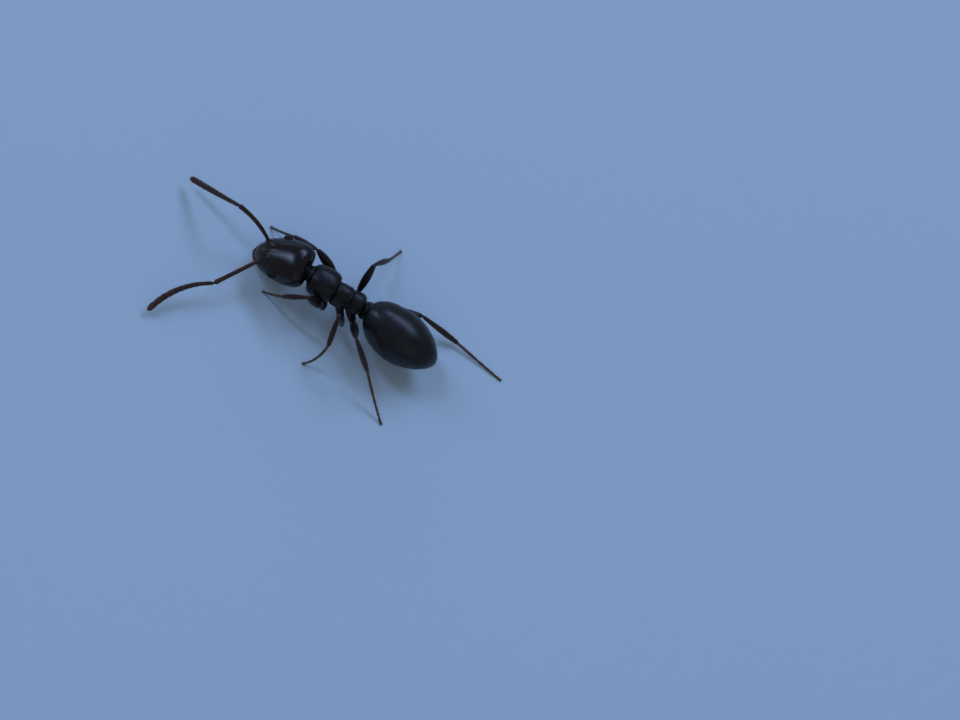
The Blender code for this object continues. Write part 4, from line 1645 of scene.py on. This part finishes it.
# ---- gaster -------------------------------------------------------------
@dataclass
class Gaster:
    """Egg-shaped rear body of five overlapping rings, each with a back and a belly plate.

    Attributes:
        forms: powers of the outline's back and front half.
        edges: station of its front, then of each ring's rear edge.
        overhang: rise of the front slope.
        rises_from: station from which it rises.
        tucked: how far a ring reaches under the one before it.
        step_in: how much narrower a ring is there, as a share of its girth.
    """

    wardrobe: Wardrobe
    seat: Seat = Seat((-1.565, 0.115, 0.745), (-4.5, 2.0, 0.0))
    width: float = 1.180
    top: float = 0.485
    under: float = 0.475
    front: float = 0.905
    back: float = 0.925
    widest: float = -0.04
    forms: Forms = ((1.6, 1.7), (2.25, 2.05))
    edges: tuple[float, ...] = (0.905, 0.400, -0.030, -0.385, -0.690, -0.925)
    overhang: float = 0.130
    rises_from: float = 0.15
    tucked: float = 0.050
    step_in: float = 0.016
    down: Lie = Lie(760.0, 0.042, 0.0014, 8.0)
    belly_bristles: Lie = Lie(14.0, 0.090, 0.0026, 50.0)
    margin_bristles: Lie = Lie(36.0, 0.075, 0.0024, 32.0)
    tip_bristles: Lie = Lie(130.0, 0.085, 0.0024, 40.0)

    def profile(self, number: int) -> tuple[Array, Array]:
        """Outline of a ring, from its hidden front to its rear margin.

        Args:
            number: of the ring, 0 at the front.

        Returns:
            Its stations and its girths there.
        """
        fore, rear = self.edges[number], self.edges[number + 1]
        hidden = fore + self.tucked
        if number == 0:
            t = 1.0 - np.cos(0.5 * math.pi * np.linspace(0.0, 1.0, 70))
            x = fore + (rear - fore) * t
        elif number == self.last:
            x = rear + (hidden - rear) * np.sin(0.5 * math.pi * np.linspace(1.0, 0.0, 64))
        else:
            x = np.linspace(hidden, rear, 64)
        girth = egg(x, self.widest, (-self.back - 0.004, self.front + 0.004), self.forms)
        share = np.clip((fore - x) / (fore - rear), 0.0, 1.0)
        scale = np.ones(len(x)) if number == 0 else 1.0 - self.step_in * (1.0 - share) ** 1.5
        scale = scale - 0.05 * step(x - fore, -0.004, self.tucked)
        if number < self.last:
            x = np.concatenate([x, [rear - 0.003, rear - 0.002, rear + 0.006]])
            girth = np.concatenate([girth, np.full(3, girth[-1])])
            scale = np.concatenate([scale, [0.995, 0.980, 0.960]])
        return x, girth * scale

    @property
    def last(self) -> int:
        """Number of the rearmost ring."""
        return len(self.edges) - 2

    def ring(self, number: int) -> Surface:
        """Shape one ring.

        Args:
            number: of the ring, 0 at the front.

        Returns:
            The surface in the gaster's own axes.
        """
        x, girth = self.profile(number)
        rear = self.edges[number + 1]
        risen = np.maximum(0.0, x - self.rises_from) / (self.front - self.rises_from)
        lift = self.overhang * risen ** 2
        made = Surface.plate(x, girth * self.width / 2.0, girth * self.top,
                             girth * self.under, 200, 2.0, lift)
        z = made.points[..., 2] - lift[:, None]
        above_seam = z / (self.under * np.maximum(girth, 0.05))[:, None] + 0.52
        belly = step(-above_seam, 0.0, 0.05)
        slit = step(-made.points[..., 0], 0.85, 0.91) * ridge(z + 0.02, 0.010)
        relief = -0.012 * belly * step(girth, 0.15, 0.4)[:, None] - 0.016 * slit
        margin = step(made.points[..., 0], rear + 0.030, rear) if number < self.last else 0.0
        tip = step(-x, 0.72, 0.88)[:, None]
        return made.raised(relief).toned(0.30 * margin + 0.16 * belly + 0.85 * tip)

    def build(self, coat: Coat, bristles: Coat) -> None:
        """Make the five rings and their hairs.

        Args:
            coat: takes the down.
            bristles: takes the bristles of the belly, the rear margins and the tip.
        """
        for number in range(self.last + 1):
            flat = self.ring(number)
            skin = flat.carried(self.seat.matrix())
            Shell("gaster_ring_%d" % (number + 1)).add(skin).piece(
                self.wardrobe.silky, "gaster_segment_%d" % (number + 1))
            x, z = flat.points[..., 0], flat.points[..., 2]
            shown = step(self.edges[number] - x, 0.0, 0.02)
            if number < self.last:
                shown[-5:] = 0.0     # the rolled rear margin is bare
            coat.grow(skin, self.down, shown)
            bristles.grow(skin, self.belly_bristles, shown * step(-z, 0.10, 0.3))
            if number:
                margin = ridge(x - self.edges[number + 1] - 0.035, 0.012)
                bristles.grow(skin, self.margin_bristles, shown * margin)
            if number == self.last:
                bristles.grow(skin, self.tip_bristles, step(-x, 0.78, 0.86))


# ---- legs ---------------------------------------------------------------
@dataclass(frozen=True)
class LegBuild:
    """Lengths, radii and root of a pair of legs."""

    femur: float
    tibia: float
    tarsus: float
    coxa_radius: float
    coxa_tip: float
    trochanter_radius: float
    femur_radius: float
    tibia_radius: float
    root: Point
    spur: float = 0.095


@dataclass(frozen=True)
class Stance:
    """How one leg stands.

    Attributes:
        hip: tip of its coxa.
        femur: yaw and rise of the femur, in degrees.
        tibia: yaw and rise of the tibia.
        tarsus_yaw: yaw of the foot, which reaches down to the floor.
        bow: how far the foot bows out at its middle.
    """

    hip: Point
    femur: tuple[float, float]
    tibia: tuple[float, float]
    tarsus_yaw: float
    bow: Point = (0.0, 0.0, 0.0)


@dataclass(frozen=True)
class Joints:
    """Joints of a leg as points, and the directions of its femur, tibia and foot."""

    root: Array
    hip: Array
    knee: Array
    ankle: Array
    toe: Array
    femur: Array
    tibia: Array
    tarsus: Array


@dataclass
class Leg:
    """Coxa, trochanter, femur, tibia with its spur, and a five-jointed clawed foot.

    Attributes:
        build_of: sizes of the pair of legs.
        coxa_sunk: length of the coxa inside the trunk.
        femur_arch: how far the femur's middle arches up.
        femur_sunk: how far the femur reaches into the trochanter.
        knee: radius of the femur's end.
        hinge_radius: of the ball in the knee.
        tibia_neck: radius of the tibia at the knee.
        heel_radius: of the ball in the ankle.
        toe_height: height of the last joint's middle above the floor.
        tarsus_radius: of the first and the last joint of the foot.
        tarsomeres: where the joints of the foot begin, and its tip.
        claw_reach: how far a claw reaches forward and to the side.
        pad: radii of the pad between the claws.
    """

    side: Side
    pair: Pair
    build_of: LegBuild
    stance: Stance
    wardrobe: Wardrobe
    coxa_sunk: float = 0.085
    trochanter_length: float = 0.176
    femur_arch: float = 0.020
    femur_sunk: float = 0.016
    knee: float = 0.050
    hinge_radius: float = 0.027
    tibia_neck: float = 0.034
    ankle_radius: float = 0.040
    heel_radius: float = 0.028
    toe_height: float = 0.016
    tarsus_radius: tuple[float, float] = (0.034, 0.027)
    tarsomeres: tuple[float, ...] = (0.0, 0.44, 0.61, 0.73, 0.83, 1.0)
    spur_radius: float = 0.0075
    claw_reach: tuple[float, float] = (0.052, 0.034)
    claw_radius: float = 0.0095
    pad: Point = (0.019, 0.019, 0.010)
    coxa_down: Lie = Lie(330.0, 0.034, 0.0015, 16.0)
    femur_down: Lie = Lie(430.0, 0.034, 0.0015, 16.0)
    tibia_down: Lie = Lie(900.0, 0.034, 0.0015, 22.0)
    tibia_bristles: Lie = Lie(60.0, 0.060, 0.0024, 34.0)
    sole_bristles: Lie = Lie(900.0, 0.036, 0.0019, 42.0)
    foot_down: Lie = Lie(1100.0, 0.030, 0.0014, 24.0)
    at: Joints = field(init=False)

    def __post_init__(self) -> None:
        """Plan the leg."""
        self.at = self.plan()

    def plan(self) -> Joints:
        """Work out where the leg goes.

        Returns:
            Its joints and directions.
        """
        size, stance = self.build_of, self.stance
        hip = np.array(stance.hip)
        femur, tibia = heading(*stance.femur), heading(*stance.tibia)
        knee = hip + femur * size.femur
        ankle = knee + tibia * size.tibia
        drop = math.degrees(math.asin((ankle[2] - self.toe_height) / size.tarsus))
        tarsus = heading(stance.tarsus_yaw, -drop)
        x, y, z = size.root
        return Joints(np.array([x, self.side.sign * y, z]), hip, knee, ankle,
                      ankle + tarsus * size.tarsus, femur, tibia, tarsus)

    def coxa(self) -> Surface:
        """Shape the thick first joint.

        Returns:
            The surface in the ant.
        """
        at = self.at
        rings, window = 60, 9
        t = np.linspace(0.0, 1.0, rings)
        wide, tip = self.build_of.coxa_radius, self.build_of.coxa_tip
        girth = np.interp(t, [0.0, 0.2, 0.45, 0.7, 0.88, 1.0],
                          [0.8 * wide, wide, wide, 0.86 * wide, tip * 1.08, tip * 0.95])
        girth = np.convolve(np.pad(girth, window // 2, "edge"), np.ones(window) / window,
                            "valid")
        girth *= rounded(t, 0.10, 0.07)
        girth *= 1.0 - 0.05 * ridge(t - 0.90, 0.02)
        start = at.root + self.coxa_sunk * unit(at.root - at.hip)
        pale = 0.10 + 0.25 * step(t, 0.93, 1.0)
        return Surface.tube(straight(start, at.hip, rings), girth, 44).toned(pale[:, None])

    def trochanter(self) -> Surface:
        """Shape the small second joint.

        Returns:
            The surface in the ant.
        """
        at = self.at
        rings = 30
        t = np.linspace(0.0, 1.0, rings)
        girth = self.build_of.trochanter_radius * (0.82 + 0.18 * np.sin(math.pi * t ** 0.8))
        girth *= rounded(t, 0.30, 0.08)
        end = at.hip + at.femur * self.trochanter_length
        return Surface.tube(straight(at.hip, end, rings), girth, 32).toned(0.16)

    def femur(self) -> Surface:
        """Shape the long swollen third joint.

        Returns:
            The surface in the ant.
        """
        at = self.at
        rings = 80
        t = np.linspace(0.0, 1.0, rings)
        size = self.build_of
        girth = spindle(t, 0.90 * size.trochanter_radius, size.femur_radius,
                        0.96 * self.knee, 0.42)
        girth *= 1.0 - 0.07 * ridge(t - 0.930, 0.025)
        pale = 0.06 + 0.30 * step(t, 0.95, 1.0) + 0.20 * ridge(t, 0.04)
        start = at.hip + at.femur * (self.trochanter_length - self.femur_sunk)
        upward = np.cross(at.femur, np.cross(UP, at.femur))
        path = bowed(start, at.knee, self.femur_arch * upward, rings)
        return Surface.tube(path, girth, 36).toned(pale[:, None])

    def tibia_start(self) -> Array:
        """Place where the tibia leaves the knee, farther out the more the leg is folded."""
        fold = 0.5 * (1.0 - float(self.at.femur @ self.at.tibia))
        return self.at.knee + self.at.tibia * (self.knee * (0.4 + 1.3 * fold) - 0.012)

    def tibia(self) -> Surface:
        """Shape the fourth joint with its narrow neck.

        Returns:
            The surface in the ant.
        """
        at = self.at
        rings = 80
        t = np.linspace(0.0, 1.0, rings)
        girth = spindle(t, self.tibia_neck, 0.94 * self.build_of.tibia_radius,
                        self.ankle_radius, 0.6)
        girth *= 1.0 + 0.05 * ridge(t - 0.96, 0.02)
        pale = 0.10 + 0.25 * ridge(t, 0.05) + 0.25 * step(t, 0.90, 1.0)
        path = straight(self.tibia_start(), at.ankle, rings)
        return Surface.tube(path, girth, 32).toned(pale[:, None])

    def hinge(self) -> Surface:
        """The ball that the tibia turns on."""
        middle = 0.5 * (self.at.knee + self.tibia_start())
        return Surface.ball(middle, self.hinge_radius).toned(0.18)

    def spur(self) -> Surface:
        """Shape the comb-edged spur at the end of the tibia.

        Returns:
            The surface in the ant.
        """
        at = self.at
        rings, clear = 24, 0.008
        beside = -0.022 * self.side.sign * unit(np.cross(at.tibia, UP))
        root = at.ankle - 0.030 * at.tibia + beside - 0.022 * UP
        way = unit(0.5 * at.tibia + 0.7 * at.tarsus - 0.22 * UP)
        path = bowed(root, root + way * self.build_of.spur, -0.012 * UP, rings)
        path[:, 2] = np.maximum(path[:, 2], clear)
        return Surface.spike(path, self.spur_radius, 0.85).toned(0.55)

    def foot(self) -> Surface:
        """Shape the five joints of the foot, each flared at its end.

        Returns:
            The surface in the ant.
        """
        at = self.at
        rings = 150
        t = np.linspace(0.0, 1.0, rings)
        joint, within = beads(t, self.tarsomeres)
        first, last = self.tarsus_radius
        flare = np.where(joint == 0, 0.80 + 0.20 * within, 0.66 + 0.34 * within ** 0.8)
        girth = (first + (last - first) * t) * flare
        girth *= (1.0 - 0.25 * within ** 14) * rounded(t, 0.02, 0.03)
        pale = 0.34 + 0.24 * t + 0.20 * (1.0 - within) ** 5
        sag = 0.06 * (at.ankle[2] - self.toe_height)
        path = bowed(at.ankle + at.tarsus * (self.ankle_radius * 0.2), at.toe,
                     np.array(self.stance.bow) - sag * UP, rings)
        return Surface.tube(path, girth, 24).toned(pale[:, None]).grounded()

    def toe_tip(self) -> list[Surface]:
        """Shape the two claws and the pad between them.

        Returns:
            The surfaces in the ant.
        """
        at = self.at
        ahead = unit(at.tarsus * np.array([1.0, 1.0, 0.0]))
        across = np.cross(UP, ahead)
        toe = at.toe - 0.010 * ahead
        reach, spread = self.claw_reach
        made = []
        for sign in (1.0, -1.0):
            outward = sign * across
            tip = toe + reach * ahead + spread * outward
            tip[2] = 0.0015
            path = bowed(toe + 0.010 * outward + 0.004 * UP, tip, 0.016 * UP + 0.006 * outward,
                         20)
            made.append(Surface.spike(path, self.claw_radius, 0.88).toned(0.18).grounded())
        middle = toe + 0.018 * ahead
        middle[2] = self.pad[2]
        return [*made, Surface.ball(middle, self.pad).toned(0.7).grounded()]

    def build(self, coat: Coat, bristles: Coat) -> None:
        """Make the pieces of the leg and their hairs.

        Args:
            coat: takes the down.
            bristles: takes the bristles.
        """
        at = self.at
        label = "%s_%s_" % (self.side.value, self.pair.value)
        coxa, femur, tibia, foot = self.coxa(), self.femur(), self.tibia(), self.foot()
        for part, surface in (("coxa", coxa), ("trochanter", self.trochanter()),
                              ("femur", femur)):
            Shell(label + part + "_joint").add(surface).piece(
                self.wardrobe.brown_black, label + part)
        Shell(label + "tibia_joint").add(tibia, self.hinge(), self.spur()).piece(
            self.wardrobe.brown, label + "tibia")
        heel = Surface.ball(at.ankle, self.heel_radius).toned(0.3)
        Shell(label + "foot").add(foot, heel, *self.toe_tip()).piece(
            self.wardrobe.amber, label + "tarsus")
        coat.grow(coxa, self.coxa_down)
        coat.grow(femur, self.femur_down)
        coat.grow(tibia, self.tibia_down)
        bristles.grow(tibia, self.tibia_bristles)
        sole = step(-foot.normals()[..., 2], 0.1, 0.6) * step(foot.points[..., 2], 0.0, 0.02)
        bristles.grow(foot, self.sole_bristles, 0.15 + sole)
        coat.grow(foot, self.foot_down)


LEG_BUILDS = {
    Pair.FORE: LegBuild(femur=0.83, tibia=0.64, tarsus=0.76, coxa_radius=0.122, coxa_tip=0.080,
                        trochanter_radius=0.070, femur_radius=0.100, tibia_radius=0.062,
                        root=(0.33, 0.165, 0.640), spur=0.125),
    Pair.MID: LegBuild(femur=0.84, tibia=0.72, tarsus=0.78, coxa_radius=0.088, coxa_tip=0.060,
                       trochanter_radius=0.058, femur_radius=0.086, tibia_radius=0.064,
                       root=(-0.105, 0.160, 0.640)),
    Pair.HIND: LegBuild(femur=1.24, tibia=1.01, tarsus=1.19, coxa_radius=0.105, coxa_tip=0.078,
                        trochanter_radius=0.074, femur_radius=0.092, tibia_radius=0.066,
                        root=(-0.37, 0.130, 0.625)),
}
STANCES = {
    (Side.LEFT, Pair.FORE): Stance((0.103, 0.355, 0.445), (33.9, 53.3), (10.9, -45.6), -17.5),
    (Side.LEFT, Pair.MID): Stance((-0.405, 0.430, 0.385), (50.0, 70.5), (108.0, -45.5), 58.2,
                                  (-0.055, 0.030, 0.0)),
    (Side.LEFT, Pair.HIND): Stance((-0.560, 0.235, 0.400), (104.4, 54.0), (163.3, -50.1),
                                   145.3),
    (Side.RIGHT, Pair.FORE): Stance((0.165, -0.395, 0.440), (-9.1, 31.6), (-10.5, -28.0),
                                    -16.5),
    (Side.RIGHT, Pair.MID): Stance((-0.340, -0.260, 0.420), (-87.1, 46.1), (-115.5, -40.9),
                                   -104.1),
    (Side.RIGHT, Pair.HIND): Stance((-0.600, -0.250, 0.380), (-159.1, 3.6), (183.2, -19.5),
                                    -187.2),
}


# ---- studio -------------------------------------------------------------
@dataclass(frozen=True)
class Softbox:
    """A long soft light that faces the ant.

    Attributes:
        name: name of the light.
        ends: directions from the ant to the two ends of its long side.
        size: its long and its short side.
        away: its distance.
        power: in watts.
        colour: sRGB hex value.
    """

    name: str
    ends: tuple[Point, Point]
    size: tuple[float, float]
    away: float
    power: float
    colour: str

    def hang(self) -> None:
        """Make the light."""
        data = bpy.data.lights.new(self.name, "AREA")
        data.shape = "RECTANGLE"
        data.size, data.size_y = (length * MM for length in self.size)
        data.energy = self.power
        data.color = linear(self.colour)[:3]
        near, far = (Vector(end).normalized() for end in self.ends)
        back = (near + far).normalized()
        along = (far - near).normalized()
        turn = Matrix((along, back.cross(along), back)).transposed().to_4x4()
        placed(self.name, data).matrix_world = Matrix.Translation(back * self.away * MM) @ turn


@dataclass(frozen=True)
class Studio:
    """Pale floor, soft boxes and the camera.

    Attributes:
        rise: height of the camera's line of sight, in degrees.
        ahead: how far in front of square to the left side it looks from.
        roll: turn of the picture about that line.
        span: width of the view at the ant.
        aim: place of the ant's waist in the view, right and down of its middle.
        pivot: the ant's waist.
        distance: of the camera.
        sensor: width of its sensor.
        floor_half: half the width of the floor.
        floor_colour: sRGB hex value of its paint.
        sky_colour: sRGB hex value of the light from all round.
        sky_strength: its strength.
        softboxes: the lights.
    """

    rise: float = 66.0
    ahead: float = 8.1
    roll: float = 39.7
    span: float = 20.09
    aim: tuple[float, float] = (2.930, 1.423)
    pivot: Point = (0.0, 0.0, 0.795)
    distance: float = 150.0
    sensor: float = 36.0
    floor_half: float = 900.0
    floor_colour: str = "#D8EEFC"
    sky_colour: str = "#C4D0E2"
    sky_strength: float = 0.25
    softboxes: tuple[Softbox, ...] = (
        Softbox("key_softbox", ((0.55, -0.20, 0.80), (0.93, -0.12, 0.36)), (150.0, 18.0),
                240.0, 0.062, "#BCD4FF"),
        Softbox("window_softbox", ((0.40, -0.03, 0.91), (0.70, -0.22, 0.68)), (80.0, 38.0),
                240.0, 0.054, "#A4C2FF"),
        Softbox("side_softbox", ((0.20, -0.95, 0.20), (0.75, -0.62, 0.20)), (220.0, 60.0),
                300.0, 0.030, "#C8D6F4"),
        Softbox("sky_softbox", ((0.25, -0.72, 0.65), (-0.40, -0.48, 0.80)), (150.0, 60.0),
                240.0, 0.156, "#A8C6FF"),
        Softbox("fill_softbox", ((-0.95, 0.40, 0.75), (-0.10, 0.90, 0.75)), (240.0, 200.0),
                300.0, 0.026, "#DCE9FF"))

    def axes(self) -> tuple[Array, Array, Array]:
        """Work out how the camera is turned.

        Returns:
            Its right, up and back.
        """
        e, a, roll = (math.radians(v) for v in (self.rise, self.ahead, self.roll))
        back = np.array([math.cos(e) * math.sin(a), math.cos(e) * math.cos(a), math.sin(e)])
        level = np.array([-math.cos(a), math.sin(a), 0.0])
        upright = np.cross(back, level)
        right = math.cos(roll) * level + math.sin(roll) * upright
        up = -math.sin(roll) * level + math.cos(roll) * upright
        return right, up, back

    def camera(self) -> None:
        """Place the camera."""
        right, up, back = self.axes()
        beside, below = self.aim
        centre = np.array(self.pivot) + Shell.shift + beside * right - below * up
        data = bpy.data.cameras.new("camera")
        data.sensor_width = self.sensor
        data.lens = self.sensor * self.distance / self.span
        data.clip_start, data.clip_end = 0.01, 10.0
        made = placed("camera", data)
        turn = Matrix((right, up, back)).transposed().to_4x4()
        place = (centre + back * self.distance) * MM
        made.matrix_world = Matrix.Translation(Vector(place)) @ turn
        bpy.context.scene.camera = made

    def floor(self) -> None:
        """Lay a plain board of matt pale paint, which takes soft shadows and no gloss."""
        half = self.floor_half * MM
        mesh = bpy.data.meshes.new("floor")
        mesh.from_pydata([(-half, -half, 0), (half, -half, 0), (half, half, 0),
                          (-half, half, 0)], [], [(0, 1, 2, 3)])
        paint = bpy.data.materials.new("matt_pale_paint")
        paint.use_nodes = True
        connect(paint.node_tree, paint.node_tree.nodes["Principled BSDF"],
                {"Base Color": linear(self.floor_colour), "Roughness": 0.75,
                 "Specular IOR Level": 0.2})
        mesh.materials.append(paint)
        placed("floor", mesh)

    def sky(self) -> None:
        """Even soft light from all round."""
        made = bpy.data.worlds.new("studio")
        bpy.context.scene.world = made
        made.use_nodes = True
        connect(made.node_tree, made.node_tree.nodes["Background"],
                {"Color": linear(self.sky_colour), "Strength": self.sky_strength})

    def build(self) -> None:
        """Set up the whole studio."""
        self.floor()
        self.sky()
        for softbox in self.softboxes:
            softbox.hang()
        self.camera()
        bpy.context.scene.view_settings.view_transform = "Standard"
        bpy.context.scene.view_settings.look = "None"


# ---- the ant ------------------------------------------------------------
def settle(head: Head) -> None:
    """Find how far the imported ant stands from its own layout, by the left eye.

    Args:
        head: the head, which knows the eye's place in the layout.
    """
    low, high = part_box("eye_left")
    middle = np.array((low + high) / 2.0) / MM
    Shell.shift = middle - np.array(head.seat.matrix() @ Vector(head.eye_seat))
    LOG.info("shift %s mm", np.round(Shell.shift, 4).tolist())


def main() -> None:
    """Build the ant and its studio."""
    logging.basicConfig(level=logging.INFO, format="%(name)s: %(message)s")
    wardrobe = Wardrobe.filled()
    head = Head(wardrobe)
    settle(head)
    trunk_down, limb_down = Coat("trunk_down", 11), Coat("limb_down", 12)
    bristles = Coat("bristles", 13)
    head.build(trunk_down, bristles)
    Antenna(Side.LEFT, head, wardrobe, funiculus_way=(53.8, -12.5), scape_bow=(0.0, 0.0, 0.0),
            funiculus_bow=(0.128, -0.086, 0.030)).build(limb_down)
    Antenna(Side.RIGHT, head, wardrobe, funiculus_way=(-16.7, -37.2),
            scape_bow=(-0.031, -0.055, 0.026), funiculus_bow=(0.0, 0.0, -0.02)).build(limb_down)
    Trunk(wardrobe).build(trunk_down, bristles)
    Gaster(wardrobe).build(trunk_down, bristles)
    for (side, pair), stance in STANCES.items():
        Leg(side, pair, LEG_BUILDS[pair], stance, wardrobe).build(limb_down, bristles)
    trunk_down.piece(wardrobe.down)
    limb_down.piece(wardrobe.down)
    bristles.piece(wardrobe.bristle)
    Studio().build()


if __name__ == "__main__":
    main()
